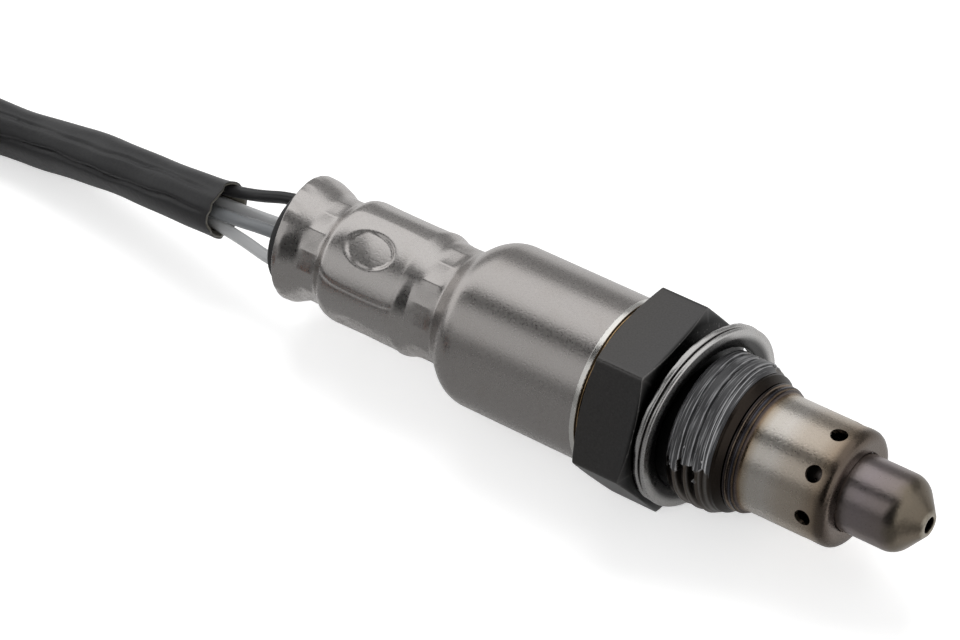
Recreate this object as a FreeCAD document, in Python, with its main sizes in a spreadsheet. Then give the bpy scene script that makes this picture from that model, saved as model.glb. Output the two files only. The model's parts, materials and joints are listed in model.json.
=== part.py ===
import FreeCAD, Part
import math
import os
import Sketcher
from FreeCAD import Placement, Rotation, Vector

# Exhaust gas oxygen sensor, four leads, planar element, M18 x 1.5 thread.
# The sensor's axis is X, with the tip towards +X. It lies on one flat of its hexagon, so +Z is up.
# The origin is on the axis, at the rear end of the thread's full crest. All lengths are millimetres.

doc = FreeCAD.newDocument("oxygen_sensor")
sheet = doc.addObject("Spreadsheet::Sheet", "sizes")

# Driving dimensions: name, value, meaning
DRIVING = [
    # hex shell
    ("thread_diameter", 18.0, "crest diameter of the M18 x 1.5 thread"),
    ("thread_length", 3.6, "full crest of the thread"),
    ("thread_start", 0.7, "chamfer behind the full crest"),
    ("thread_runout", 1.4, "length over which the last turn fades"),
    ("relief_diameter", 16.4, "neck that carries the sealing ring"),
    ("relief_length", 3.0, "length of that neck"),
    ("collar_diameter", 16.5, "plain collar in front of the thread"),
    ("collar_length", 0.35, "plain length of the collar"),
    ("collar_chamfer", 0.7, "length and depth of the collar's front chamfer"),
    ("hex_across", 22.0, "across the flats of the hexagon"),
    ("hex_length", 7.2, "length of the hexagon with its chamfers"),
    ("hex_chamfer", 0.6, "length of the chamfer at each end of the hexagon"),
    ("hex_face_diameter", 21.8, "circle where the chamfer meets the end face"),
    ("rear_spigot_length", 6.4, "part of the shell inside the sleeve"),
    ("front_spigot_length", 3.4, "part of the shell inside the outer guard tube"),
    ("main_bore", 12.0, "bore that holds the ceramic stack"),
    ("shoulder_place", 1.2, "step in the bore that carries the stack, from the origin"),
    ("throat_bore", 6.8, "bore in front of that step"),
    ("rim_bore", 10.0, "rear rim of the shell, rolled in over the stack"),
    ("rim_thickness", 0.8, "thickness of that rim"),
    ("fit_gap", 0.03, "radial clearance of pieces that are pressed or welded"),
    # sealing ring
    ("ring_diameter", 22.4, "outside of the sealing ring"),
    ("ring_bore", 17.9, "inside of the sealing ring, under the crest diameter"),
    ("ring_thickness", 1.5, "thickness of the folded ring, not yet crushed"),
    ("ring_fold", 0.35, "groove between its two layers"),
    ("ring_fold_depth", 1.3, "depth of that groove"),
    ("ring_round", 0.28, "rounding of the ring's outer rims"),
    ("ring_tilt", 5.2, "degrees that the loose ring leans"),
    ("ring_lean", 94.3, "degrees from -Y towards -Z of the line about which it leans"),
    ("ring_shift_y", 0.59, "how far the loose ring sits off the axis towards +Y"),
    ("ring_shift_z", 0.3, "how far it sits off the axis towards +Z"),
    # protective sleeve
    ("sleeve_diameter", 20.06, "large cylinder"),
    ("sleeve_wall", 0.6, "sheet thickness"),
    ("bead_diameter", 20.3, "weld bead at the front end"),
    ("bead_length", 1.1, "length of the bead"),
    ("bead_gap", 0.6, "from the hexagon to the bead"),
    ("sleeve_cylinder", 18.4, "large cylinder, from the bead to the shoulder's corner"),
    ("shoulder_length", 3.2, "cone of the shoulder"),
    ("shoulder_round", 4.6, "radius at the top of the shoulder"),
    ("neck_round", 1.2, "radius where a cone meets a neck"),
    ("front_neck_diameter", 14.3, "front crimped neck"),
    ("front_neck_length", 3.6, "its length"),
    ("bulge_diameter", 15.54, "bulge between the necks"),
    ("bulge_length", 10.6, "its length"),
    ("bulge_slope", 1.6, "length of the cone at each end of the bulge"),
    ("bulge_round", 2.2, "radius at the ends of the bulge"),
    ("rear_neck_diameter", 13.2, "rear crimped neck"),
    ("rear_neck_length", 2.8, "its length"),
    ("flange_diameter", 15.3, "rear flange of the sleeve"),
    ("flange_length", 1.1, "from the end of its flare to its open rim"),
    ("flange_round", 1.2, "radius at the end of its flare"),
    ("crimp_count", 8, "jaws of the crimping tool"),
    ("crimp_depth", 0.26, "depth of each jaw's flat"),
    ("crimp_inset", 0.5, "from a neck's end to its flats"),
    ("dimple_count", 4, "dimples round the bulge"),
    ("dimple_diameter", 4.0, "middle of each ring-shaped dimple"),
    ("dimple_depth", 0.35, "depth of the ring-shaped dimple"),
    ("dimple_groove", 1.1, "radius of the dimple's section"),
    ("dimple_angle", 24.0, "degrees from +Z towards -Y of the first dimple"),
    # guard tubes
    ("outer_guard_diameter", 13.88, "outer guard tube"),
    ("outer_guard_wall", 0.5, "its wall"),
    ("outer_guard_length", 12.9, "its length"),
    ("outer_guard_round", 2.0, "radius of its front shoulder"),
    ("weld_band_diameter", 14.7, "weld band at its rear end"),
    ("weld_band_length", 1.6, "length of the band"),
    ("gas_hole", 2.0, "diameter of the holes in the outer tube"),
    ("gas_hole_count", 8, "holes round the outer tube"),
    ("gas_hole_place", 2.68, "from the tube's front face to the holes"),
    ("gas_hole_angle", 37.6, "degrees from +Z towards -Y of the first hole"),
    ("inner_guard_diameter", 9.12, "inner guard tube"),
    ("inner_guard_wall", 0.45, "its wall"),
    ("nose_length", 9.15, "how far it stands out of the outer tube"),
    ("nose_cone", 2.6, "length of its conical end"),
    ("nose_face", 2.76, "diameter of its flat end"),
    ("nose_hole", 1.9, "axial hole in the end"),
    ("nose_round", 2.0, "radius where the cone begins"),
    ("inner_hole", 1.5, "holes in the inner tube, hidden by the outer one"),
    ("inner_hole_count", 6, "holes round the inner tube"),
    ("inner_hole_place", 2.25, "from the shell's spigot to those holes"),
    # ceramic stack and element
    ("element_width", 4.2, "flat ceramic strip"),
    ("element_thickness", 1.3, "its thickness"),
    ("element_tip_gap", 5.5, "from its front end to the nose"),
    ("element_rear", 35.5, "how far it reaches behind the origin"),
    ("element_gap", 0.04, "clearance round the strip"),
    ("lower_bush_length", 6.0, "front ceramic bush"),
    ("talc_length", 4.0, "pressed talc ring"),
    ("disc_spring_thickness", 0.6, "spring washer under the rolled rim"),
    ("disc_spring_bore", 7.0, "its bore"),
    # contacts
    ("holder_diameter", 12.4, "ceramic contact holder, two halves"),
    ("holder_length", 13.5, "its length"),
    ("holder_place", 19.5, "its front end behind the origin"),
    ("contact_spacing", 2.3, "between the two contacts on one face of the strip"),
    ("contact_width", 1.1, "width of a contact spring"),
    ("contact_sheet", 0.25, "its sheet thickness"),
    ("contact_slot", 1.6, "depth of a contact's slot in the holder"),
    ("contact_place", 6.5, "from the holder's front end to the contact point"),
    ("barrel_diameter", 2.1, "crimp barrel of a contact"),
    ("barrel_length", 4.0, "its length"),
    ("barrel_place", 38.0, "its front end behind the origin"),
    ("clamp_length", 4.0, "clamp ring round the holder"),
    ("clamp_thickness", 0.5, "its sheet thickness"),
    ("clamp_place", 4.5, "from the holder's front end to the clamp"),
    ("clamp_split", 2.0, "slot in the clamp ring"),
    # grommet and leads
    ("grommet_head", 2.6, "wide front part of the grommet"),
    ("grommet_protrusion", 1.75, "how far the grommet stands out of the flange"),
    ("grommet_end_diameter", 12.6, "its end, wider than the neck that holds it"),
    ("lead_diameter", 1.5, "insulated lead"),
    ("lead_circle", 6.2, "circle of the four leads in the grommet"),
    ("lead_straight", 3.4, "from the grommet to the point where a lead turns towards the sleeve"),
    ("lead_inset", 3.4, "circle of the four leads inside the cable sleeve"),
    ("lead_gather", 0.4, "from the sleeve's mouth to the point where the leads run parallel"),
    # cable
    ("cable_diameter", 6.6, "outside of the cable sleeve"),
    ("cable_wall", 0.35, "wall of the cable sleeve at its open end"),
    ("mouth_depth", 10.8, "open length of the cable sleeve"),
    ("coil_radius", 33.0, "middle of the coil's turns"),
    ("coil_width", 7.0, "width of the coil's ring"),
    ("coil_levels", 2, "turns that lie on each other"),
    ("coil_round", 2.4, "rounding of the ring's section"),
    ("coil_x", -138.0, "centre of the coil"),
    ("coil_y", -32.0, "centre of the coil"),
    ("lead_in", 21.5, "cable past the coil, towards the sensor"),
    ("lead_out", 29.5, "cable past the coil, towards the connector"),
    # connector
    ("boot_length", 11.0, "rubber boot behind the housing"),
    ("boot_rear_diameter", 9.6, "its rear end"),
    ("boot_front_diameter", 14.4, "its front end"),
    ("boot_socket", 5.0, "how deep the cable sits in the boot"),
    ("boot_groove", 1.0, "width of the boot's grooves"),
    ("boot_groove_depth", 0.8, "depth of the grooves"),
    ("boot_groove_first", 4.4, "from the boot's front end to its first groove"),
    ("boot_groove_pitch", 3.3, "between the grooves"),
    ("housing_length", 19.0, "rear part of the housing"),
    ("housing_width", 16.6, "its width"),
    ("housing_height", 19.8, "its height"),
    ("housing_round", 2.4, "its corner radius"),
    ("front_length", 13.0, "front part that enters the mating half"),
    ("front_width", 13.2, "its width"),
    ("front_height", 12.0, "its height"),
    ("front_round", 1.4, "its corner radius"),
    ("cavity", 2.8, "square terminal cavities"),
    ("cavity_pitch", 5.0, "between the cavities"),
    ("slot_width", 1.0, "blade slots in the lock plate"),
    ("slot_height", 2.4, "height of those slots"),
    ("lock_thickness", 1.8, "lock plate in the front face"),
    ("lock_margin", 1.1, "from the front part's side to the lock plate"),
    ("seal_length", 3.4, "interface seal"),
    ("seal_thickness", 0.9, "its wall"),
    ("seal_rib", 0.4, "height of its two ribs"),
    ("seal_rib_length", 0.68, "length of a rib"),
    ("seal_rib_inset", 0.61, "from the seal's ends to its ribs"),
    ("latch_width", 6.6, "latch arm"),
    ("latch_thickness", 1.5, "its thickness"),
    ("latch_gap", 0.3, "from the interface seal to the latch arm above it"),
    ("latch_length", 10.5, "its length"),
    ("latch_hook", 0.7, "height of its hook"),
    ("latch_hook_length", 2.1, "length of its hook"),
    ("latch_root", 1.0, "how deep the arm and the rails are rooted in what carries them"),
    ("rail_width", 1.4, "guide rails beside the latch arm"),
    ("rail_gap", 0.6, "from the latch arm to a rail"),
    ("terminal_gap", 0.1, "clearance of a terminal in its cavity"),
    ("terminal_length", 8.5, "its length"),
    ("terminal_wall", 0.35, "its sheet thickness"),
    ("terminal_opening", 6.0, "how deep a blade enters it"),
]


class Size:
    """A length that remembers how it was worked out, so that it can be bound to a dimension."""

    def __init__(self, text, value):
        self.text, self.value = text, float(value)

    def join(self, sign, other, value):
        return Size(f"({self.text} {sign} {other.text})", value)

    def __add__(self, other):
        other = as_size(other)
        return self.join("+", other, self.value + other.value)

    def __sub__(self, other):
        other = as_size(other)
        return self.join("-", other, self.value - other.value)

    def __mul__(self, other):
        other = as_size(other)
        return self.join("*", other, self.value * other.value)

    def __truediv__(self, other):
        other = as_size(other)
        return self.join("/", other, self.value / other.value)

    def __neg__(self):
        return Size(f"(0 - {self.text})", -self.value)

    def __radd__(self, other):
        return as_size(other) + self

    def __rsub__(self, other):
        return as_size(other) - self

    def __rmul__(self, other):
        return as_size(other) * self

    def __float__(self):
        return self.value


def as_size(number):
    return number if isinstance(number, Size) else Size(repr(float(number)), number)


def turned_by(length, factor, degrees, count):
    """A length times a cosine or sine of a multiple of a whole turn's share."""
    step = Size(f"({degrees} deg / {count.text})", degrees / count.value)
    turn = math.cos if factor == "cos" else math.sin
    return Size(f"({length.text} * {factor}({step.text}))", length.value * turn(math.radians(step.value)))


class Sizes:
    """The spreadsheet's cells by name."""


size = Sizes()
for row, (name, value, meaning) in enumerate(DRIVING, start=1):
    sheet.set(f"A{row}", meaning)
    sheet.set(f"B{row}", str(value))
    sheet.setAlias(f"B{row}", name)
    setattr(size, name, Size(f"sizes.{name}", value))
doc.recompute()

SUBPARTS = []


def subpart(item, label):
    """Names a finished piece; its label is its file's name."""
    item.Label = label
    SUBPARTS.append(item)
    return item


def new_body(label):
    return subpart(doc.addObject("PartDesign::Body", label + "_body"), label)


def bind(item, attribute, length):
    """Sets a property from a size and binds it to the spreadsheet."""
    length = as_size(length)
    item.setExpression(attribute, length.text)


def place(item, x=0.0, y=0.0, z=0.0, axis=None, angle=None):
    """Puts a piece at a place worked out from sizes, turned about an axis."""
    if axis is not None:
        item.Placement = Placement(Vector(0, 0, 0), Rotation(axis, float(angle)))
        if isinstance(angle, Size):
            item.setExpression("Placement.Rotation.Angle", angle.text)
    for attribute, length in (("x", x), ("y", y), ("z", z)):
        bind(item, f"Placement.Base.{attribute}", length)
    return item


def plane_sketch(body, role, name, offset=None):
    """A sketch on one of the body's own origin planes, moved along its normal by an offset."""
    sketch = body.newObject("Sketcher::SketchObject", name)
    plane = next(p for p in body.Origin.OriginFeatures if p.Role == role)
    sketch.AttachmentSupport = (plane, [""])
    sketch.MapMode = "FlatFace"
    if offset is not None:
        sketch.setExpression("AttachmentOffset.Base.z", as_size(offset).text)
    return sketch


def pin(sketch, line, end, across, up):
    """Dimensions one point of a sketch from its origin."""
    for kind, length in (("DistanceX", as_size(across)), ("DistanceY", as_size(up))):
        index = sketch.addConstraint(Sketcher.Constraint(kind, -1, 1, line, end, length.value))
        sketch.setExpression(f"Constraints[{index}]", length.text)


def outline(sketch, corners):
    """A closed outline of straight lines with every corner dimensioned from the origin."""
    points = [Vector(float(a), float(b), 0) for a, b in corners]
    lines = [sketch.addGeometry(Part.LineSegment(p, q)) for p, q in zip(points, points[1:] + points[:1])]
    for before, after in zip(lines[-1:] + lines[:-1], lines):
        sketch.addConstraint(Sketcher.Constraint("Coincident", before, 2, after, 1))
    for line, (across, up) in zip(lines, corners):
        pin(sketch, line, 1, across, up)
    return sketch


def circle(sketch, radius, across=0.0, up=0.0):
    """A circle dimensioned by its centre and radius."""
    centre = Vector(float(across), float(up), 0)
    ring = sketch.addGeometry(Part.Circle(centre, Vector(0, 0, 1), float(radius)))
    index = sketch.addConstraint(Sketcher.Constraint("Radius", ring, float(radius)))
    sketch.setExpression(f"Constraints[{index}]", as_size(radius).text)
    pin(sketch, ring, 3, across, up)
    return sketch


def polygon(sketch, apothem, count):
    """A regular polygon of a number of flats, each an apothem away from the centre."""
    corner = float(apothem) / math.cos(math.pi / float(count))
    half = Size(f"({apothem.text} / cos(180 deg / {count.text}))", corner)
    turns = [360.0 * k for k in range(int(float(count)))]
    return outline(sketch, [
        (turned_by(half, "cos", turn, count), turned_by(half, "sin", turn, count)) for turn in turns
    ])


def block(sketch, low_across, low_up, high_across, high_up):
    """A rectangle between two corners."""
    return outline(sketch, [
        (low_across, low_up), (high_across, low_up), (high_across, high_up), (low_across, high_up),
    ])


def turned(body, name, corners, cut=False):
    """A section of (along the axis, radius) corners turned about the X axis, or cut as a groove."""
    sketch = outline(plane_sketch(body, "XY_Plane", name + "_section"), corners)
    kind = "PartDesign::Groove" if cut else "PartDesign::Revolution"
    feature = body.newObject(kind, name)
    feature.Profile = sketch
    feature.ReferenceAxis = (sketch, ["H_Axis"])
    feature.Angle = 360
    return feature


def pad(body, name, sketch, length, middle=False):
    """Grows a sketch along its normal, or evenly to both sides of its plane."""
    feature = body.newObject("PartDesign::Pad", name)
    feature.Profile = sketch
    bind(feature, "Length", length)
    feature.Midplane = middle
    return feature


def pocket(body, name, sketch, length, reverse=False):
    """Cuts a sketch out of the body against its normal, or along it."""
    feature = body.newObject("PartDesign::Pocket", name)
    feature.Profile = sketch
    bind(feature, "Length", length)
    feature.Reversed = reverse
    return feature


def pattern_round(body, name, feature, count):
    """Repeats a feature round the X axis."""
    axis = next(p for p in body.Origin.OriginFeatures if p.Role == "X_Axis")
    pattern = body.newObject("PartDesign::PolarPattern", name)
    pattern.Originals = [feature]
    pattern.Axis = (axis, [""])
    pattern.Angle = 360
    bind(pattern, "Occurrences", count)
    body.Tip = pattern
    return pattern


def radial(feature, along, reach, angle):
    """Turns a primitive so that its own axis points out from the X axis, and moves it out to a reach."""
    turn = as_size(angle)
    degrees = f"{turn.text} * 1 deg"
    feature.Placement = Placement(Vector(0, 0, 0), Rotation(Vector(1, 0, 0), turn.value))
    if isinstance(angle, Size):
        feature.setExpression("Placement.Rotation.Angle", degrees)
    bind(feature, "Placement.Base.x", along)
    reach = as_size(reach)
    radians = math.radians(turn.value)
    feature.setExpression("Placement.Base.y", f"0 - {reach.text} * sin({degrees})")
    feature.setExpression("Placement.Base.z", f"{reach.text} * cos({degrees})")
    feature.Placement.Base = Vector(
        float(along), -reach.value * math.sin(radians), reach.value * math.cos(radians)
    )


def round_corners(body, name, places, radius):
    """Fillets the circular edges round the X axis at (along, radius) places."""
    doc.recompute()
    base = body.Tip
    names = []
    for index, edge in enumerate(base.Shape.Edges, start=1):
        if not isinstance(edge.Curve, Part.Circle):
            continue
        centre = edge.Curve.Center
        for along, reach in places:
            near = abs(centre.x - float(along)) < 1e-4 and abs(edge.Curve.Radius - float(reach)) < 1e-4
            if near and math.hypot(centre.y, centre.z) < 1e-4:
                names.append(f"Edge{index}")
    fillet = body.newObject("PartDesign::Fillet", name)
    fillet.Base = (base, names)
    bind(fillet, "Radius", radius)
    return fillet


# Places along the axis that several pieces share

thread_end = size.thread_length
relief_rear = -(size.thread_start + size.relief_length)
hex_front = relief_rear
hex_rear = hex_front - size.hex_length
shell_rear = hex_rear - size.rear_spigot_length
runout_end = thread_end + size.thread_runout
collar_front = runout_end + size.collar_length
spigot_rear = collar_front + size.collar_chamfer
spigot_front = spigot_rear + size.front_spigot_length
bead_front = hex_rear - size.bead_gap
guard_front = spigot_rear + size.outer_guard_length
nose_front = guard_front + size.nose_length

hex_corner = size.hex_across / 2 * (2 / math.sqrt(3))
thread_radius = size.thread_diameter / 2
collar_radius = size.collar_diameter / 2
spigot_shoulder = collar_radius - size.collar_chamfer
main_radius = size.main_bore / 2
sleeve_radius = size.sleeve_diameter / 2
sleeve_inside = sleeve_radius - size.sleeve_wall
outer_guard_radius = size.outer_guard_diameter / 2
outer_guard_inside = outer_guard_radius - size.outer_guard_wall
inner_guard_radius = size.inner_guard_diameter / 2
inner_guard_inside = inner_guard_radius - size.inner_guard_wall
lead_radius = size.lead_diameter / 2
cable_radius = size.cable_diameter / 2

stack_rear = shell_rear + size.rim_thickness
upper_bush_rear = stack_rear + size.disc_spring_thickness
talc_front = size.shoulder_place - size.lower_bush_length
talc_rear = talc_front - size.talc_length


# Cutting tools reach past the piece that they cut by this share of its radius
PAST = 1.15


def hex_shell():
    """The turned steel shell: rear spigot, hexagon, thread, collar and front spigot round one bore."""
    body = new_body("hex_shell")
    counterbore = inner_guard_radius + size.fit_gap
    turned(body, "shell_turning", [
        (shell_rear, size.rim_bore / 2),
        (stack_rear, size.rim_bore / 2),
        (stack_rear, main_radius),
        (size.shoulder_place, main_radius),
        (size.shoulder_place, size.throat_bore / 2),
        (spigot_rear, size.throat_bore / 2),
        (spigot_rear, counterbore),
        (spigot_front, counterbore),
        (spigot_front, outer_guard_inside - size.fit_gap),
        (spigot_rear, outer_guard_inside - size.fit_gap),
        (spigot_rear, spigot_shoulder),
        (collar_front, collar_radius),
        (runout_end, collar_radius),
        (thread_end, thread_radius),
        (0.0, thread_radius),
        (-size.thread_start, size.relief_diameter / 2),
        (relief_rear, size.relief_diameter / 2),
        (hex_rear, size.relief_diameter / 2),
        (hex_rear, sleeve_inside - size.fit_gap),
        (shell_rear, sleeve_inside - size.fit_gap),
    ])
    flats = plane_sketch(body, "YZ_Plane", "hexagon", hex_rear)
    half = hex_corner / 2
    flat = size.hex_across / 2
    outline(flats, [
        (hex_corner, 0.0), (half, flat), (-half, flat), (-hex_corner, 0.0), (-half, -flat), (half, -flat),
    ])
    circle(flats, main_radius)
    pad(body, "hexagon_pad", flats, size.hex_length)
    beyond = hex_corner * PAST
    face = size.hex_face_diameter / 2
    rise = (hex_corner - face) / size.hex_chamfer
    for name, end, inwards in (("front_chamfer", hex_front, -1.0), ("rear_chamfer", hex_rear, 1.0)):
        turned(body, name, [
            (end, face),
            (end + (beyond - face) / rise * inwards, beyond),
            (end - inwards * size.hex_chamfer, beyond),
            (end - inwards * size.hex_chamfer, face),
        ], cut=True)


def sealing_ring():
    """The folded steel ring, captive on the neck behind the thread, where it leans and hangs loose."""
    body = new_body("sealing_ring")
    outside = size.ring_diameter / 2
    layer = (size.ring_thickness - size.ring_fold) / 2
    turned(body, "ring_turning", [
        (0.0, size.ring_bore / 2),
        (size.ring_thickness, size.ring_bore / 2),
        (size.ring_thickness, outside),
        (size.ring_thickness - layer, outside),
        (size.ring_thickness - layer, outside - size.ring_fold_depth),
        (layer, outside - size.ring_fold_depth),
        (layer, outside),
        (0.0, outside),
    ])
    edges = [(0.0, outside), (size.ring_thickness, outside)]
    round_corners(body, "ring_rounding", edges, size.ring_round)
    # It leans until one side touches the hexagon's front face.
    lean_height = outside * size.ring_tilt * (math.pi / 180)
    lean = math.radians(float(size.ring_lean))
    place(
        body,
        x=hex_front + lean_height + size.fit_gap,
        y=size.ring_shift_y,
        z=size.ring_shift_z,
        axis=Vector(0, -math.cos(lean), -math.sin(lean)),
        angle=size.ring_tilt,
    )


def sleeve_corners():
    """The sleeve's outer corners from the bead to the open rim, as (along, radius)."""
    bead_rear = bead_front - size.bead_length
    shoulder = bead_rear - size.sleeve_cylinder
    neck = shoulder - size.shoulder_length
    neck_rear = neck - size.front_neck_length
    bulge = neck_rear - size.bulge_slope
    bulge_rear = bulge - size.bulge_length
    rear_neck = bulge_rear - size.bulge_slope
    rear_neck_end = rear_neck - size.rear_neck_length
    flange = rear_neck_end - size.bulge_slope
    flange_rear = flange - size.flange_length
    return {
        "shoulder": (shoulder, sleeve_radius),
        "neck": (neck, size.front_neck_diameter / 2),
        "neck_rear": (neck_rear, size.front_neck_diameter / 2),
        "bulge": (bulge, size.bulge_diameter / 2),
        "bulge_rear": (bulge_rear, size.bulge_diameter / 2),
        "rear_neck": (rear_neck, size.rear_neck_diameter / 2),
        "rear_neck_end": (rear_neck_end, size.rear_neck_diameter / 2),
        "flange": (flange, size.flange_diameter / 2),
        "flange_rear": (flange_rear, size.flange_diameter / 2),
    }


CORNER = sleeve_corners()
sleeve_end = CORNER["flange_rear"][0]


def inside(corner):
    """The corner of the sheet's inner side at one of the sleeve's corners."""
    along, radius = CORNER[corner]
    return along, radius - size.sleeve_wall


def protective_sleeve():
    """The deep-drawn sleeve with its weld bead, two necks crimped by eight jaws, and dimples."""
    body = new_body("protective_sleeve")
    bead = size.bead_diameter / 2
    edge = bead - sleeve_radius
    bead_rear = bead_front - size.bead_length
    turned(body, "sleeve_turning", [
        (bead_front, sleeve_inside),
        (bead_front, sleeve_radius),
        (bead_front - edge, bead),
        (bead_rear + edge, bead),
        (bead_rear, sleeve_radius),
        *CORNER.values(),
        *[inside(corner) for corner in list(CORNER)[::-1]],
    ])
    wall = size.sleeve_wall
    round_corners(body, "shoulder_outside", [CORNER["shoulder"]], size.shoulder_round)
    round_corners(body, "shoulder_inside", [inside("shoulder")], size.shoulder_round - wall)
    valleys = ["neck", "neck_rear", "rear_neck", "rear_neck_end"]
    round_corners(body, "valleys_outside", [CORNER[c] for c in valleys], size.neck_round)
    hills = ["bulge", "bulge_rear"]
    round_corners(body, "hills_outside", [CORNER[c] for c in hills], size.bulge_round)
    round_corners(body, "hills_inside", [inside(c) for c in hills], size.bulge_round - wall)
    round_corners(body, "flange_outside", [CORNER["flange"]], size.flange_round)
    for name, front, rear in (("front", "neck", "neck_rear"), ("rear", "rear_neck", "rear_neck_end")):
        crimp_front = CORNER[front][0] - size.crimp_inset
        crimp_rear = CORNER[rear][0] + size.crimp_inset
        flats = plane_sketch(body, "YZ_Plane", f"{name}_crimp_flats", crimp_rear)
        polygon(flats, CORNER[front][1] - size.crimp_depth, size.crimp_count)
        circle(flats, sleeve_radius)
        pocket(body, f"{name}_crimp", flats, crimp_front - crimp_rear, reverse=True)
    dimple = body.newObject("PartDesign::SubtractiveTorus", "dimple")
    bind(dimple, "Radius1", size.dimple_diameter / 2)
    bind(dimple, "Radius2", size.dimple_groove)
    middle = (CORNER["bulge"][0] + CORNER["bulge_rear"][0]) / 2
    reach = size.bulge_diameter / 2 - size.dimple_depth + size.dimple_groove
    radial(dimple, middle, reach, size.dimple_angle)
    pattern_round(body, "dimples", dimple, size.dimple_count)


def outer_guard_tube():
    """The drawn outer tube with its weld band, rounded front end and ring of gas holes."""
    body = new_body("outer_guard_tube")
    bore = inner_guard_radius + size.fit_gap
    band = size.weld_band_diameter / 2
    band_front = spigot_rear + size.weld_band_length
    turned(body, "outer_tube_turning", [
        (spigot_rear, outer_guard_inside),
        (spigot_rear, band),
        (spigot_rear + size.weld_band_length / 2, band),
        (band_front, outer_guard_radius),
        (guard_front, outer_guard_radius),
        (guard_front, bore),
        (guard_front - size.outer_guard_wall, bore),
        (guard_front - size.outer_guard_wall, outer_guard_inside),
    ])
    inside_round = size.outer_guard_round - size.outer_guard_wall
    round_corners(body, "outer_tube_round", [(guard_front, outer_guard_radius)], size.outer_guard_round)
    inner_edge = (guard_front - size.outer_guard_wall, outer_guard_inside)
    round_corners(body, "outer_tube_inner_round", [inner_edge], inside_round)
    hole = body.newObject("PartDesign::SubtractiveCylinder", "gas_hole")
    bind(hole, "Radius", size.gas_hole / 2)
    bind(hole, "Height", outer_guard_radius)
    radial(hole, guard_front - size.gas_hole_place, outer_guard_radius / 2, size.gas_hole_angle)
    pattern_round(body, "gas_holes", hole, size.gas_hole_count)


def inner_guard_tube():
    """The drawn inner tube with a conical nose, an axial hole, and its own ring of holes further back."""
    body = new_body("inner_guard_tube")
    cone_rear = nose_front - size.nose_cone
    face = size.nose_face / 2
    wall = size.inner_guard_wall
    turned(body, "inner_tube_turning", [
        (spigot_rear, inner_guard_inside),
        (spigot_rear, inner_guard_radius),
        (cone_rear, inner_guard_radius),
        (nose_front, face),
        (nose_front, size.nose_hole / 2),
        (nose_front - wall, size.nose_hole / 2),
        (nose_front - wall, face - wall / 4),
        (cone_rear - wall / 2, inner_guard_inside),
    ])
    round_corners(body, "nose_rounding", [(cone_rear, inner_guard_radius)], size.nose_round)
    hole = body.newObject("PartDesign::SubtractiveCylinder", "inner_hole")
    bind(hole, "Radius", size.inner_hole / 2)
    bind(hole, "Height", inner_guard_radius)
    radial(hole, spigot_front + size.inner_hole_place, inner_guard_radius / 2, 0.0)
    pattern_round(body, "inner_holes", hole, size.inner_hole_count)


def slotted_ring(label, front, rear, outside, width, thickness):
    """A turned ceramic piece with a flat slot along its axis for the element."""
    body = new_body(label)
    turned(body, label + "_turning", [(rear, 0.0), (rear, outside), (front, outside), (front, 0.0)])
    slot = plane_sketch(body, "YZ_Plane", label + "_slot_outline", rear)
    block(slot, -width / 2, -thickness / 2, width / 2, thickness / 2)
    pocket(body, label + "_slot", slot, front - rear, reverse=True)


def ceramic_stack():
    """Two ceramic bushes with pressed talc between them, held under the shell's rolled rim."""
    outside = main_radius - size.fit_gap
    width = size.element_width + size.element_gap * 2
    thickness = size.element_thickness + size.element_gap * 2
    slotted_ring("lower_ceramic_bush", size.shoulder_place, talc_front, outside, width, thickness)
    slotted_ring("talc_ring", talc_front, talc_rear, outside, width, thickness)
    slotted_ring("upper_ceramic_bush", talc_rear, upper_bush_rear, outside, width, thickness)
    body = new_body("disc_spring")
    bore = size.disc_spring_bore / 2
    turned(body, "spring_turning", [
        (stack_rear, bore), (stack_rear, outside), (upper_bush_rear, outside), (upper_bush_rear, bore),
    ])


def sensor_element():
    """The flat laminated ceramic strip, with its tip inside the inner guard tube."""
    body = new_body("sensor_element")
    section = plane_sketch(body, "YZ_Plane", "element_outline", -size.element_rear)
    half, thick = size.element_width / 2, size.element_thickness / 2
    block(section, -half, -thick, half, thick)
    pad(body, "element_pad", section, size.element_rear + nose_front - size.element_tip_gap)


holder_front = -size.holder_place
holder_rear = holder_front - size.holder_length
contact_point = holder_front - size.contact_place


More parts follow.
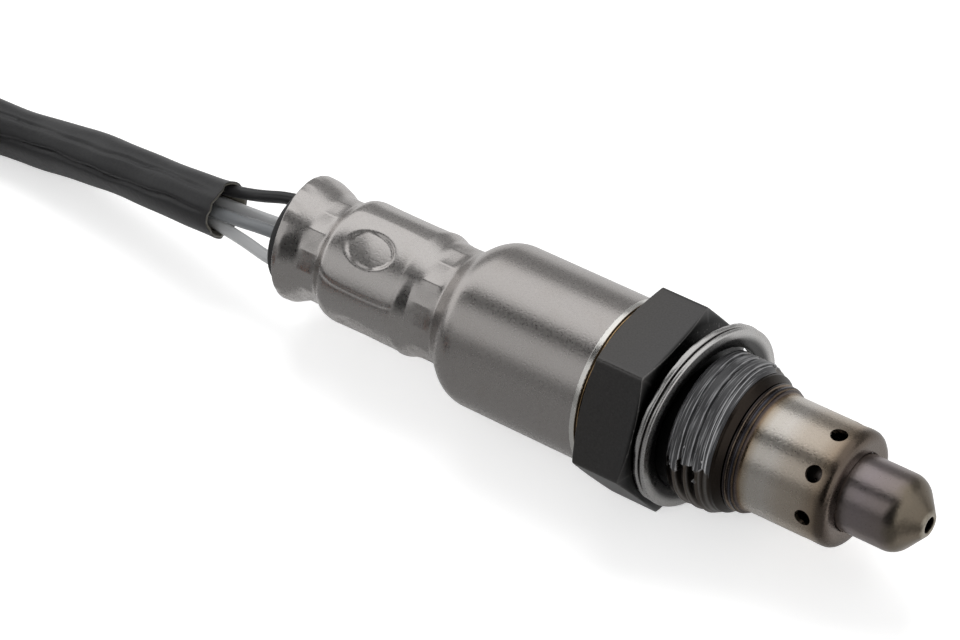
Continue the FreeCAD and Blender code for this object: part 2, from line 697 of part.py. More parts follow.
def contact_holder():
    """Two ceramic half rounds with slots for the contact springs, closed on the element by a clamp ring."""
    radius = size.holder_diameter / 2
    face = size.element_thickness / 2 + size.element_gap
    for label, side in (("contact_holder_upper", 0.0), ("contact_holder_lower", 180.0)):
        body = new_body(label)
        turned(body, label + "_turning", [
            (holder_rear, 0.0), (holder_rear, radius), (holder_front, radius), (holder_front, 0.0),
        ])
        other = plane_sketch(body, "YZ_Plane", label + "_other_half", holder_rear)
        block(other, -radius * PAST, -radius * PAST, radius * PAST, face)
        pocket(body, label + "_half", other, size.holder_length, reverse=True)
        for name, across in (("left", -1.0), ("right", 1.0)):
            slot = plane_sketch(body, "YZ_Plane", f"{label}_{name}_outline", holder_rear)
            middle = size.contact_spacing / 2 * across
            half = size.contact_width / 2 + size.element_gap
            block(slot, middle - half, size.element_thickness / 2, middle + half, face + size.contact_slot)
            pocket(body, f"{label}_{name}_slot", slot, size.holder_length, reverse=True)
        place(body, axis=Vector(1, 0, 0), angle=side)
    clamp = new_body("holder_clamp_ring")
    inside_radius = radius + size.fit_gap
    front = holder_front - size.clamp_place
    rear = front - size.clamp_length
    turned(clamp, "clamp_turning", [
        (rear, inside_radius),
        (rear, inside_radius + size.clamp_thickness),
        (front, inside_radius + size.clamp_thickness),
        (front, inside_radius),
    ])
    split = plane_sketch(clamp, "YZ_Plane", "clamp_split_outline", rear)
    half_split = size.clamp_split / 2
    outside = inside_radius + size.clamp_thickness
    block(split, inside_radius / 2, -half_split, outside * PAST, half_split)
    pocket(clamp, "clamp_slot", split, size.clamp_length, reverse=True)


def contact_springs():
    """Four bent strips that press on the element's pads and end in crimp barrels round the leads."""
    sheet_gap = size.element_thickness / 2 + size.element_gap
    low = sheet_gap
    high = sheet_gap + size.contact_slot - size.contact_sheet - size.element_gap
    barrel_front = -size.barrel_place
    barrel_rear = barrel_front - size.barrel_length
    lead_side = size.lead_circle / 2 * math.sqrt(0.5)
    barrel_inside = lead_radius + size.fit_gap
    ramp = size.contact_place / 2
    front = holder_front - size.contact_sheet
    sheet_thickness = size.contact_sheet
    number = 0
    for side in (0.0, 180.0):
        for across in (1.0, -1.0):
            number += 1
            label = f"contact_spring_{number}"
            body = new_body(label)
            strip = plane_sketch(body, "XZ_Plane", label + "_bend", -size.contact_spacing / 2 * across)
            outline(strip, [
                (front, high),
                (contact_point, low),
                (contact_point - ramp, high),
                (barrel_front, high),
                (barrel_front, high + sheet_thickness),
                (contact_point - ramp - sheet_thickness / 2, high + sheet_thickness),
                (contact_point, low + sheet_thickness),
                (front, high + sheet_thickness),
            ])
            pad(body, label + "_strip", strip, size.contact_width, middle=True)
            barrel = plane_sketch(body, "YZ_Plane", label + "_barrel_outline", barrel_rear)
            circle(barrel, size.barrel_diameter / 2, lead_side * across, lead_side)
            pad(body, label + "_barrel", barrel, size.barrel_length)
            web = plane_sketch(body, "YZ_Plane", label + "_web_outline", barrel_front - sheet_thickness * 2)
            inner = size.contact_spacing / 2 * across
            block(
                web,
                inner - size.contact_width / 2 * across,
                high,
                lead_side * across,
                lead_side,
            )
            pad(body, label + "_web", web, sheet_thickness * 2)
            bore = plane_sketch(body, "YZ_Plane", label + "_bore_outline", barrel_rear)
            circle(bore, barrel_inside, lead_side * across, lead_side)
            pocket(body, label + "_bore", bore, size.barrel_length, reverse=True)
            place(body, axis=Vector(1, 0, 0), angle=side)


# The leads by their insulation, counted from the quarter between +Y and +Z towards -Y
LEADS = ["lead_black", "lead_grey", "lead_white_lower", "lead_white_rear"]

grommet_front = CORNER["bulge_rear"][0] + size.grommet_head
grommet_rear = sleeve_end - size.grommet_protrusion


def grommet():
    """The rubber plug that the crimps squeeze round the four leads."""
    body = new_body("grommet")
    head = size.bulge_diameter / 2 - size.sleeve_wall - size.fit_gap - size.dimple_depth
    neck = size.rear_neck_diameter / 2 - size.sleeve_wall - size.fit_gap
    end = size.grommet_end_diameter / 2
    turned(body, "grommet_turning", [
        (grommet_rear, 0.0),
        (grommet_rear, end),
        (CORNER["flange"][0], end),
        (CORNER["flange"][0], neck),
        (CORNER["rear_neck"][0], neck),
        (CORNER["bulge_rear"][0], head),
        (grommet_front, head),
        (grommet_front, 0.0),
    ])
    holes = plane_sketch(body, "YZ_Plane", "lead_hole_outline", grommet_rear)
    side = size.lead_circle / 2 * math.sqrt(0.5)
    circle(holes, lead_radius + size.fit_gap, side, side)
    cut = pocket(body, "lead_hole", holes, grommet_front - grommet_rear, reverse=True)
    pattern_round(body, "lead_holes", cut, len(LEADS))


ground = -(size.hex_across / 2)
low_level = ground + cable_radius
top_level = low_level + size.cable_diameter * (size.coil_levels - 1)
connector_y = size.coil_y - size.coil_radius

# The cable's route by eye, from its open mouth down to the floor and into the coil
MOUTH = Vector(-70.2, -1.0, -1.0)
ROUTE = [
    MOUTH,
    Vector(-89.8, 1.24, -4.44),
    Vector(-107.5, float(size.coil_y + size.coil_radius), float(low_level)),
    Vector(float(size.coil_x + size.lead_in), float(size.coil_y + size.coil_radius), float(low_level)),
]


# Share of the shorter run beside a turn that the turn's arc takes up
ARC_SHARE = 0.45


def rounded_path(points):
    """Straight runs joined by tangent arcs, each as large as its two runs allow."""
    edges = []
    start = points[0]
    for before, corner, after in zip(points, points[1:], points[2:]):
        run_in, run_out = corner - before, after - corner
        half_turn = run_in.getAngle(run_out) / 2
        reach = ARC_SHARE * min(run_in.Length, run_out.Length)
        radius = reach / math.tan(half_turn)
        print("bend radius", round(radius, 1))
        enter = corner - run_in.normalize() * reach
        leave = corner + run_out.normalize() * reach
        inwards = ((enter + leave) * 0.5 - corner).normalize()
        middle = corner + inwards * radius * (1 / math.cos(half_turn) - 1)
        edges.append(Part.LineSegment(start, enter).toShape())
        edges.append(Part.Arc(enter, middle, leave).toShape())
        start = leave
    edges.append(Part.LineSegment(start, points[-1]).toShape())
    return Part.Wire(edges)


def swept(path, radius):
    """A round solid along a path."""
    first = path.Edges[0]
    start = first.valueAt(first.FirstParameter)
    along = first.tangentAt(first.FirstParameter)
    section = Part.Wire([Part.Circle(start, along, radius).toShape()])
    return path.makePipeShell([section], True, True)


def shaped(label, shape):
    """A sub-part whose shape is worked out here from the sheet's values."""
    item = doc.addObject("Part::Feature", label + "_shape")
    item.Shape = shape
    return subpart(item, label)


def leads():
    """Four insulated leads from their crimp barrels through the grommet into the cable sleeve."""
    along = (ROUTE[1] - ROUTE[0]).normalize()
    wide = float(size.lead_circle) / 2
    narrow = float(size.lead_inset) / 2
    lead_end = float(size.mouth_depth) - float(size.fit_gap)
    for number, label in enumerate(LEADS):
        turn = 2 * math.pi * (number + 0.5) / len(LEADS)
        around = Vector(0, math.cos(turn), math.sin(turn))
        across = (around - along * around.dot(along)).normalize()
        path = rounded_path([
            Vector(-float(size.barrel_place), 0, 0) + around * wide,
            Vector(float(grommet_rear - size.lead_straight), 0, 0) + around * wide,
            MOUTH + along * float(size.lead_gather) + across * narrow,
            MOUTH + along * lead_end + across * narrow,
        ])
        shaped(label, swept(path, float(lead_radius)))


def cable_sleeve():
    """The sleeve round the leads, open at its mouth, down to the floor and up to the coil."""
    path = rounded_path(ROUTE)
    tube = swept(path, float(cable_radius))
    expected = path.Length * math.pi * float(cable_radius) ** 2
    print("cable sleeve", round(path.Length, 2), "volume share", round(tube.Volume / expected, 4))
    along = (ROUTE[1] - ROUTE[0]).normalize()
    bore = Part.makeCylinder(float(cable_radius - size.cable_wall), float(size.mouth_depth), MOUTH, along)
    shaped("cable_sleeve", tube.cut(bore))


def cable_coil():
    """The stored turns as one ring, with the cable that comes in low and leaves on top."""
    body = new_body("cable_coil")
    inside_edge = size.coil_radius - size.coil_width / 2
    outside_edge = size.coil_radius + size.coil_width / 2
    height = size.cable_diameter * size.coil_levels
    section = plane_sketch(body, "XZ_Plane", "coil_section")
    block(section, inside_edge, 0.0, outside_edge, height)
    ring = body.newObject("PartDesign::Revolution", "coil_ring")
    ring.Profile = section
    ring.ReferenceAxis = (section, ["V_Axis"])
    ring.Angle = 360
    doc.recompute()
    edges = [f"Edge{k}" for k, e in enumerate(ring.Shape.Edges, 1) if isinstance(e.Curve, Part.Circle)]
    fillet = body.newObject("PartDesign::Fillet", "coil_rounding")
    fillet.Base = (ring, edges)
    bind(fillet, "Radius", size.coil_round)
    way_in = plane_sketch(body, "YZ_Plane", "way_in_outline")
    circle(way_in, cable_radius, size.coil_radius, cable_radius)
    pad(body, "way_in", way_in, size.lead_in)
    way_out = plane_sketch(body, "YZ_Plane", "way_out_outline")
    circle(way_out, cable_radius, -size.coil_radius, top_level - ground)
    pad(body, "way_out", way_out, size.lead_out)
    place(body, x=size.coil_x, y=size.coil_y, z=ground)


boot_rear = size.coil_x + size.lead_out - size.boot_socket
housing_rear = boot_rear + size.boot_length
axis_height = top_level - ground
half_front_width = size.front_width / 2
half_front_height = size.front_height / 2


def at_connector(body, x=0.0, y=0.0, z=0.0):
    """Moves a connector piece from its own frame, on the cable's axis at the housing's rear face."""
    return place(body, x=housing_rear + x, y=connector_y + y, z=top_level + z)


def long_edges(shape, along):
    """Names of the straight edges that run along X and start at a place."""
    names = []
    for index, edge in enumerate(shape.Edges, start=1):
        ends = [v.Point for v in edge.Vertexes]
        if len(ends) == 2 and abs(ends[0].y - ends[1].y) < 1e-6 and abs(ends[0].z - ends[1].z) < 1e-6:
            if abs(min(p.x for p in ends) - float(along)) < 1e-4:
                names.append(f"Edge{index}")
    return names


def round_long_edges(body, name, along, radius):
    """Fillets the edges that run along X from a place."""
    doc.recompute()
    base = body.Tip
    fillet = body.newObject("PartDesign::Fillet", name)
    fillet.Base = (base, long_edges(base.Shape, along))
    bind(fillet, "Radius", radius)
    return fillet


def cavity_centres():
    """Where the four cavities are, across and up from the connector's axis."""
    half = size.cavity_pitch / 2
    return [(half * y, half * z) for y in (-1.0, 1.0) for z in (-1.0, 1.0)]


def connector_housing():
    """A four-way housing: rear block, front part with cavities, latch arm between two rails."""
    body = new_body("connector_housing")
    rear = plane_sketch(body, "YZ_Plane", "housing_outline")
    half_width = size.housing_width / 2
    block(rear, -half_width, -axis_height, half_width, size.housing_height - axis_height)
    pad(body, "housing_rear", rear, size.housing_length)
    round_long_edges(body, "housing_rounding", 0.0, size.housing_round)
    front = plane_sketch(body, "YZ_Plane", "front_outline", size.housing_length)
    block(front, -half_front_width, -half_front_height, half_front_width, half_front_height)
    pad(body, "housing_front", front, size.front_length)
    round_long_edges(body, "front_rounding", size.housing_length, size.front_round)
    latch_low = half_front_height + size.fit_gap + size.seal_thickness + size.seal_rib + size.latch_gap
    latch_top = latch_low + size.latch_thickness
    latch_rear = size.housing_length - size.latch_root
    latch_end = size.housing_length + size.latch_length
    hook_top = latch_top + size.latch_hook
    hook_rear = latch_end - size.latch_hook_length
    latch = plane_sketch(body, "XZ_Plane", "latch_outline")
    outline(latch, [
        (latch_rear, latch_low),
        (latch_end, latch_low),
        (latch_end, latch_top),
        (hook_rear + size.latch_hook, hook_top),
        (hook_rear, hook_top),
        (hook_rear, latch_top),
        (latch_rear, latch_top),
    ])
    pad(body, "latch_arm", latch, size.latch_width, middle=True)
    rail_rear = size.housing_length + size.seal_length + size.fit_gap
    for name, side in (("left", -1.0), ("right", 1.0)):
        rail = plane_sketch(body, "YZ_Plane", f"{name}_rail_outline", rail_rear)
        inner = (size.latch_width / 2 + size.rail_gap) * side
        block(rail, inner, half_front_height - size.latch_root, inner + size.rail_width * side, latch_top)
        pad(body, f"{name}_rail", rail, latch_end - rail_rear)
    front_face = size.housing_length + size.front_length
    recess = plane_sketch(body, "YZ_Plane", "lock_recess_outline", front_face)
    across, up = half_front_width - size.lock_margin, half_front_height - size.lock_margin
    block(recess, -across, -up, across, up)
    pocket(body, "lock_recess", recess, size.lock_thickness)
    cavities = plane_sketch(body, "YZ_Plane", "cavity_outline", front_face)
    half = size.cavity / 2
    for y, z in cavity_centres():
        block(cavities, y - half, z - half, y + half, z + half)
    pocket(body, "cavities", cavities, size.lock_thickness + size.terminal_length + size.fit_gap)
    at_connector(body)


def lock_plate():
    """The plate in the front face that locks the terminals and lets the blades in."""
    body = new_body("connector_lock")
    across = half_front_width - size.lock_margin - size.fit_gap
    up = half_front_height - size.lock_margin - size.fit_gap
    plate = plane_sketch(body, "YZ_Plane", "lock_outline")
    block(plate, -across, -up, across, up)
    half_slot, half_height = size.slot_width / 2, size.slot_height / 2
    for y, z in cavity_centres():
        block(plate, y - half_slot, z - half_height, y + half_slot, z + half_height)
    pad(body, "lock_pad", plate, size.lock_thickness)
    at_connector(body, x=size.housing_length + size.front_length - size.lock_thickness)


def interface_seal():
    """The rubber ring on the front part, with two ribs."""
    body = new_body("interface_seal")
    across = half_front_width + size.fit_gap
    up = half_front_height + size.fit_gap
    front_rib = size.seal_length - size.seal_rib_inset - size.seal_rib_length
    for name, start, length, rise in (
        ("seal_band", 0.0, size.seal_length, 0.0),
        ("rear_rib", size.seal_rib_inset, size.seal_rib_length, size.seal_rib),
        ("front_rib", front_rib, size.seal_rib_length, size.seal_rib),
    ):
        wide, high = across + size.seal_thickness + rise, up + size.seal_thickness + rise
        sketch = plane_sketch(body, "YZ_Plane", name + "_outline", start)
        block(sketch, -wide, -high, wide, high)
        block(sketch, -across, -up, across, up)
        pad(body, name, sketch, length)
    at_connector(body, x=size.housing_length)


def connector_boot():
    """The rubber boot that takes the cable and closes the housing's rear."""
    body = new_body("connector_boot")
    rear, front = size.boot_rear_diameter / 2, size.boot_front_diameter / 2
    groove = size.boot_groove
    slope = (front - rear) / size.boot_length
    bore = cable_radius + size.fit_gap
    turned(body, "boot_turning", [
        (-size.boot_length, bore),
        (-size.boot_length, rear),
        (0.0, front),
        (0.0, 0.0),
        (size.boot_socket - size.boot_length, 0.0),
        (size.boot_socket - size.boot_length, bore),
    ])
    first = size.boot_groove_first
    for name, back in (("front_groove", first), ("rear_groove", first + size.boot_groove_pitch)):
        surface = front - slope * back
        bottom = surface - size.boot_groove_depth
        turned(body, name, [
            (-back, bottom),
            (-back + groove, bottom),
            (-back + groove, surface + groove),
            (-back, surface + groove),
        ], cut=True)
    at_connector(body)


def terminals():
    """Four female terminals, each a folded box, in the housing's cavities."""
    half = size.cavity / 2 - size.terminal_gap
    wall = size.terminal_wall
    start = size.housing_length + size.front_length - size.lock_thickness - size.terminal_length
    for number, (y, z) in enumerate(cavity_centres(), start=1):
        body = new_body(f"terminal_{number}")
        box = plane_sketch(body, "YZ_Plane", f"terminal_{number}_outline")
        block(box, -half, -half, half, half)
        pad(body, f"terminal_{number}_box", box, size.terminal_length)
        mouth = plane_sketch(body, "YZ_Plane", f"terminal_{number}_mouth", size.terminal_length)
        block(mouth, wall - half, wall - half, half - wall, half - wall)
        pocket(body, f"terminal_{number}_opening", mouth, size.terminal_opening)
        at_connector(body, x=start, y=y, z=z)


for make in (
    hex_shell, sealing_ring, protective_sleeve, outer_guard_tube, inner_guard_tube, ceramic_stack,
    sensor_element, contact_holder, contact_springs, grommet, leads, cable_sleeve, cable_coil,
    connector_housing, lock_plate, interface_seal, connector_boot, terminals,
):
    make()
doc.recompute()

failed = [item.Label for item in doc.Objects if {"Invalid", "Error"} & set(item.State)]
for item in SUBPARTS:
    if item.Shape.isNull() or not item.Shape.isValid() or not item.Shape.Solids:
        failed.append(item.Label)
if failed:
    raise RuntimeError(f"these pieces failed: {sorted(set(failed))}")

os.makedirs("parts", exist_ok=True)
for item in SUBPARTS:
    item.Shape.exportStep(f"parts/{item.Label}.step")
    print(item.Label, "volume", round(item.Shape.Volume, 2))
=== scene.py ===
# %% [markdown]
# # An oxygen sensor in Blender
# The sensor screws into an exhaust pipe. A steel shell with a hexagon and a thread carries a drawn sleeve behind it
# and two perforated guard tubes in front. Four insulated leads run into a cable that ends in a plug.
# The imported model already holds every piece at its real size. This lesson gives the pieces their finish, and
# rebuilds those whose form needs finer work than the model holds: the thread, the crimps, the welds and the cable.

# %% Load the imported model
import json
import math

import bmesh
import bpy
import numpy as np
from mathutils import Matrix, Vector


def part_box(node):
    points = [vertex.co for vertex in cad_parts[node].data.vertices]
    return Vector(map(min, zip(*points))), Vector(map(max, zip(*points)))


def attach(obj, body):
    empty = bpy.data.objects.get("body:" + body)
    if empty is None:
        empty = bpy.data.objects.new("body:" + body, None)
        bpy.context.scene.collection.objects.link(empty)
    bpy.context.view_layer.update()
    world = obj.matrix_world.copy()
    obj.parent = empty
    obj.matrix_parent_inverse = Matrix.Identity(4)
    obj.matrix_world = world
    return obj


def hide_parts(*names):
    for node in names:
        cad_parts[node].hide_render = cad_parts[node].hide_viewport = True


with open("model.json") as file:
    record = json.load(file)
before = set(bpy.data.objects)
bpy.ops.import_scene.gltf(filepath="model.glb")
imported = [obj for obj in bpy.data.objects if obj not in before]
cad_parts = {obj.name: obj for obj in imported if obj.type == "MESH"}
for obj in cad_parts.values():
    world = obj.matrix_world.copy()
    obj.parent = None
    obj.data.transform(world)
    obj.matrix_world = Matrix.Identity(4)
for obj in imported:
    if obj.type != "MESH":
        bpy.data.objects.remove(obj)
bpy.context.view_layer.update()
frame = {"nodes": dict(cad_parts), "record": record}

BODY = "root"
MM = 0.001
print("nodes:", len(frame["nodes"]))

# %% [markdown]
# ## The camera
# The camera goes first, because it decides which side needs the most care. It looks at the sensor's axis from
# above and to one side with a long lens, and leans a little, as a hand-held one does. Its direction is given by an
# azimuth and an elevation, and its place follows from its distance to the point that it looks at.

# %% Camera
LOOK_AT = Vector((-32.26, -0.17, -0.23)) * MM
DISTANCE = 456.5 * MM
AZIMUTH, ELEVATION, ROLL = (math.radians(angle) for angle in (42.441, 45.553, -8.287))
LENS = 149.25

back = Vector((
    math.sin(AZIMUTH) * math.cos(ELEVATION),
    -math.cos(AZIMUTH) * math.cos(ELEVATION),
    math.sin(ELEVATION),
))
level = Vector((math.cos(AZIMUTH), math.sin(AZIMUTH), 0.0))
upright = back.cross(level)
right = level * math.cos(ROLL) + upright * math.sin(ROLL)
up = upright * math.cos(ROLL) - level * math.sin(ROLL)
camera = bpy.data.objects.new("camera", bpy.data.cameras.new("camera"))
camera.data.lens = LENS
turn = Matrix((right, up, back)).transposed().to_4x4()
camera.matrix_world = Matrix.Translation(LOOK_AT + back * DISTANCE) @ turn
bpy.context.scene.collection.objects.link(camera)
bpy.context.scene.camera = camera
bpy.context.scene.view_settings.view_transform = "Standard"
print("camera at", [round(value / MM, 1) for value in camera.location])

# %% [markdown]
# ## Adding nodes with less typing
# Every finish below is a small graph of nodes, and so is every repeated shape. A few helpers keep them readable.
# The first one adds a node, sets its properties and fills its sockets: a value that is itself a socket is linked,
# and any other is typed into the socket. The others use it for sums, products, mixes and noise.

# %% Node helpers
def add(tree, kind, inputs=(), **settings):
    """A new node with its properties set and its sockets linked or filled."""
    node = tree.nodes.new(kind)
    for name, value in settings.items():
        setattr(node, name, value)
    for key, value in dict(inputs).items():
        if isinstance(value, bpy.types.NodeSocket):
            tree.links.new(value, node.inputs[key])
        else:
            node.inputs[key].default_value = value
    return node


def calc(tree, operation, *values):
    """The result of one Math node."""
    return add(tree, "ShaderNodeMath", enumerate(values), operation=operation).outputs[0]


def product(tree, first, *others):
    """Several values multiplied together."""
    for value in others:
        first = calc(tree, "MULTIPLY", first, value)
    return first


def remap(tree, value, low, high, to_low=0.0, to_high=1.0, kind="SMOOTHSTEP"):
    """A value taken from one range to another, held at its ends."""
    inputs = {"Value": value, "From Min": low, "From Max": high, "To Min": to_low, "To Max": to_high}
    return add(tree, "ShaderNodeMapRange", inputs, interpolation_type=kind).outputs[0]


def mixed(tree, share, first, second):
    """Two colours mixed by a share."""
    pair = [value if isinstance(value, bpy.types.NodeSocket) else (*value, 1.0) for value in (first, second)]
    return add(tree, "ShaderNodeMix", {0: share, 6: pair[0], 7: pair[1]}, data_type="RGBA").outputs[2]


def noise(tree, vector, scale, detail=2.0):
    """Soft noise from 0 to 1; a higher scale makes smaller grains, and detail makes them rougher."""
    inputs = {"Vector": vector, "Scale": scale, "Detail": detail}
    return add(tree, "ShaderNodeTexNoise", inputs).outputs["Fac"]


def scaled(tree, vector, factor):
    """A place or a colour times a factor."""
    return add(tree, "ShaderNodeVectorMath", {0: vector, "Scale": factor}, operation="SCALE").outputs[0]


def combined(tree, x=0.0, y=0.0, z=0.0):
    """A vector from its three parts."""
    return add(tree, "ShaderNodeCombineXYZ", {0: x, 1: y, 2: z}).outputs[0]


print("helpers ready")

# %% [markdown]
# ## Shared groups for the finishes
# Satin steel, moulded rubber and glazed insulation all have a grain, and most of them have stains that are larger
# than the grain. A node group holds each such effect once. Its inputs are named, so each material sets its own
# grain size and strength, and its outputs are plain values that the material mixes into colour and roughness.

# %% Groups
def new_group(name, inputs, outputs):
    """An empty shader group with named sockets. Inputs are (name, default) and outputs are names."""
    tree = bpy.data.node_groups.new(name, "ShaderNodeTree")
    vector = tree.interface.new_socket("Vector", in_out="INPUT", socket_type="NodeSocketVector")
    vector.hide_value = True
    for label, value in inputs:
        socket = tree.interface.new_socket(label, in_out="INPUT", socket_type="NodeSocketFloat")
        socket.default_value = value
    for label in outputs:
        tree.interface.new_socket(label, in_out="OUTPUT", socket_type="NodeSocketFloat")
    return tree, tree.nodes.new("NodeGroupInput").outputs, tree.nodes.new("NodeGroupOutput").inputs


def grain_group():
    """Fine grain: a value round 1 that brightens or darkens, and a height for the bump."""
    tree, given, result = new_group("grain", [("Size", 0.2), ("Contrast", 0.1)], ["Tone", "Height"])
    fine = noise(tree, given["Vector"], calc(tree, "DIVIDE", 1.0 / MM, given["Size"]), 3.0)
    tone = calc(tree, "MULTIPLY_ADD", calc(tree, "SUBTRACT", fine, 0.5), given["Contrast"], 1.0)
    tree.links.new(tone, result["Tone"])
    tree.links.new(fine, result["Height"])
    return tree


def stain_group():
    """Irregular stains: a mask that is 1 inside them, with ragged edges."""
    tree, given, result = new_group("stain", [("Size", 3.0), ("Cover", 0.4), ("Edge", 0.1)], ["Mask"])
    cloud = noise(tree, given["Vector"], calc(tree, "DIVIDE", 1.0 / MM, given["Size"]), 6.0)
    start = calc(tree, "SUBTRACT", 1.0, given["Cover"])
    end = calc(tree, "ADD", start, given["Edge"])
    tree.links.new(remap(tree, cloud, start, end), result["Mask"])
    return tree


GRAIN = grain_group()
STAIN = stain_group()


def use(tree, group, vector, **values):
    """A shared group placed in a material with its own values."""
    node = tree.nodes.new("ShaderNodeGroup")
    node.node_tree = group
    tree.links.new(vector, node.inputs["Vector"])
    for label, value in values.items():
        node.inputs[label].default_value = value
    return node.outputs


print("groups:", GRAIN.name, STAIN.name)

# %% [markdown]
# ## Starting a material
# A material reads Object coordinates, so that its grain has its real size and stays where it is when a view or a
# pose changes. The helper starts the graph and returns its tree, its Principled shader and those coordinates.

# %% Material helpers
def new_material(name, **sockets):
    """A material's tree, its Principled shader with plain values typed in, and Object coordinates."""
    material = bpy.data.materials.new(name)
    material.use_nodes = True
    tree = material.node_tree
    shader = tree.nodes["Principled BSDF"]
    for label, value in sockets.items():
        shader.inputs[label.replace("_", " ")].default_value = value
    place = add(tree, "ShaderNodeTexCoord").outputs["Object"]
    return material, tree, shader, place


def in_mm(tree, place):
    """X, Y and Z in mm."""
    return add(tree, "ShaderNodeSeparateXYZ", {0: scaled(tree, place, 1.0 / MM)}).outputs


def round_axis(tree, y, z):
    """The distance from the sensor's axis, and the angle round it from +Y towards +Z."""
    squares = calc(tree, "ADD", calc(tree, "MULTIPLY", y, y), calc(tree, "MULTIPLY", z, z))
    return calc(tree, "SQRT", squares), calc(tree, "ARCTAN2", z, y)


def coloured_along(tree, value, stops):
    """A colour that follows a value through its (value, colour) stops."""
    first, last = stops[0][0], stops[-1][0]
    ramp = add(tree, "ShaderNodeValToRGB", {"Fac": remap(tree, value, first, last, kind="LINEAR")})
    elements = ramp.color_ramp.elements
    elements[0].color, elements[1].color = (*stops[0][1], 1.0), (*stops[-1][1], 1.0)
    for at, colour in stops[1:-1]:
        elements.new((at - first) / (last - first)).color = (*colour, 1.0)
    return ramp.outputs[0]


def bumped(tree, shader, height, depth_mm):
    """Raises a surface by a height times a depth."""
    inputs = {"Height": height, "Distance": depth_mm * MM, "Strength": 1.0}
    tree.links.new(add(tree, "ShaderNodeBump", inputs).outputs["Normal"], shader.inputs["Normal"])


def attribute(tree, name):
    """A value that is stored on the mesh."""
    return add(tree, "ShaderNodeAttribute", attribute_name=name).outputs["Fac"]


print("material helpers ready")

# %% [markdown]
# ## Moulded and extruded finishes
# Rubber, insulation, ceramic and moulded plastic differ in colour, gloss and grain, and in little else. One
# function makes them all, and a table keeps their values side by side.

# %% Plain finishes
STAIN_GREY, STAIN_STRENGTH = 0.35, 0.3
STAIN_TO_GRAIN = 25.0


def moulded(name, colour, rough, size_mm, depth_mm, contrast, stained, lining=None):
    """A non-metal: a colour with grain and faint stains, which are a little rougher.

    A lining is the colour of the faces that the mesh marks as inside.
    """
    material, tree, shader, place = new_material(name)
    grain = use(tree, GRAIN, place, Size=size_mm, Contrast=contrast)
    stain = use(tree, STAIN, place, Size=size_mm * STAIN_TO_GRAIN, Cover=0.5, Edge=0.3)["Mask"]
    pale = tuple((1.0 - STAIN_STRENGTH) * value + STAIN_STRENGTH * STAIN_GREY for value in colour)
    shade = mixed(tree, calc(tree, "MULTIPLY", stain, stained), colour, pale)
    if lining:
        shade = mixed(tree, attribute(tree, "inside"), shade, lining)
    tree.links.new(scaled(tree, shade, grain["Tone"]), shader.inputs["Base Color"])
    tree.links.new(calc(tree, "MULTIPLY_ADD", stain, 0.12, rough), shader.inputs["Roughness"])
    bumped(tree, shader, grain["Height"], depth_mm)
    return material


# Colour, roughness, grain size and depth in mm, contrast of the grain, strength of the stains, lining
PLAIN = {
    "grommet_rubber": ((0.022, 0.022, 0.023), 0.55, 0.25, 0.02, 0.5, 0.35),
    "lead_black": ((0.018, 0.018, 0.019), 0.32, 0.3, 0.006, 0.3, 0.2),
    "lead_grey": ((0.17, 0.178, 0.186), 0.3, 0.3, 0.006, 0.08, 0.1),
    # The white leads' colour is a mid grey, which paints in the shade that they show.
    "lead_white": ((0.47, 0.475, 0.48), 0.3, 0.3, 0.006, 0.05, 0.1),
    "cable_black": ((0.020, 0.020, 0.021), 0.42, 0.5, 0.03, 0.4, 0.3, (0.17, 0.16, 0.13)),
    "connector_plastic": ((0.03, 0.03, 0.032), 0.5, 0.18, 0.012, 0.25, 0.15),
    "lock_plastic": ((0.30, 0.31, 0.33), 0.48, 0.18, 0.01, 0.12, 0.1),
    "seal_rubber": ((0.50, 0.15, 0.035), 0.5, 0.2, 0.012, 0.15, 0.1),
    "bush_ceramic": ((0.82, 0.79, 0.72), 0.7, 0.12, 0.012, 0.08, 0.15),
    "talc_grey": ((0.50, 0.51, 0.50), 0.9, 0.1, 0.02, 0.15, 0.1),
    "element_ceramic": ((0.76, 0.76, 0.78), 0.6, 0.1, 0.008, 0.08, 0.1),
}
FINISH = {name: moulded(name, *values) for name, values in PLAIN.items()}
print("plain finishes:", len(FINISH))

# %% [markdown]
# ## Steel
# Bare steel takes its colour from its surroundings, so its own graph is about how rough it is and where. A satin
# sheet has a fine even grain. Steel that has been hot is tinted straw, brown and blue, in bands that follow the
# heat along the axis, so a row of tints with wandering borders gives their colours.

# %% Satin steel
TARNISH = (0.30, 0.24, 0.18)
# The black of painted shade, laid where the mesh marks it
PAINTED_SHADE = (0.02, 0.02, 0.02)
BORDER_WAVE_MM = 1.8


def satin_steel(name, colour, rough, size_mm=0.16, depth_mm=0.006, contrast=0.25, tarnish=0.1, wander=0.0,
                soot=0.0):
    """Sheet or turned metal with an even grain and faint tarnish.

    The colour may be a list of (mm along the axis, colour) tints, whose borders then wander by some mm.
    Painted shade darkens the metal where the mesh says so.
    """
    material, tree, shader, place = new_material(name, Metallic=1.0)
    grain = use(tree, GRAIN, place, Size=size_mm, Contrast=contrast)
    stain = use(tree, STAIN, place, Size=4.0, Cover=0.5, Edge=0.35)["Mask"]
    if isinstance(colour, list):
        wave = noise(tree, place, 1.0 / (BORDER_WAVE_MM * MM))
        shift = calc(tree, "MULTIPLY_ADD", wave, 2.0 * wander, -wander)
        colour = coloured_along(tree, calc(tree, "ADD", in_mm(tree, place)["X"], shift), colour)
    aged = mixed(tree, calc(tree, "MULTIPLY", stain, tarnish), colour, TARNISH)
    if soot:
        aged = mixed(tree, calc(tree, "MULTIPLY", attribute(tree, "soot"), soot), aged, PAINTED_SHADE)
    tree.links.new(scaled(tree, aged, grain["Tone"]), shader.inputs["Base Color"])
    tree.links.new(calc(tree, "MULTIPLY_ADD", grain["Height"], 0.18, rough), shader.inputs["Roughness"])
    bumped(tree, shader, grain["Height"], depth_mm)
    return material


print("satin steel ready")

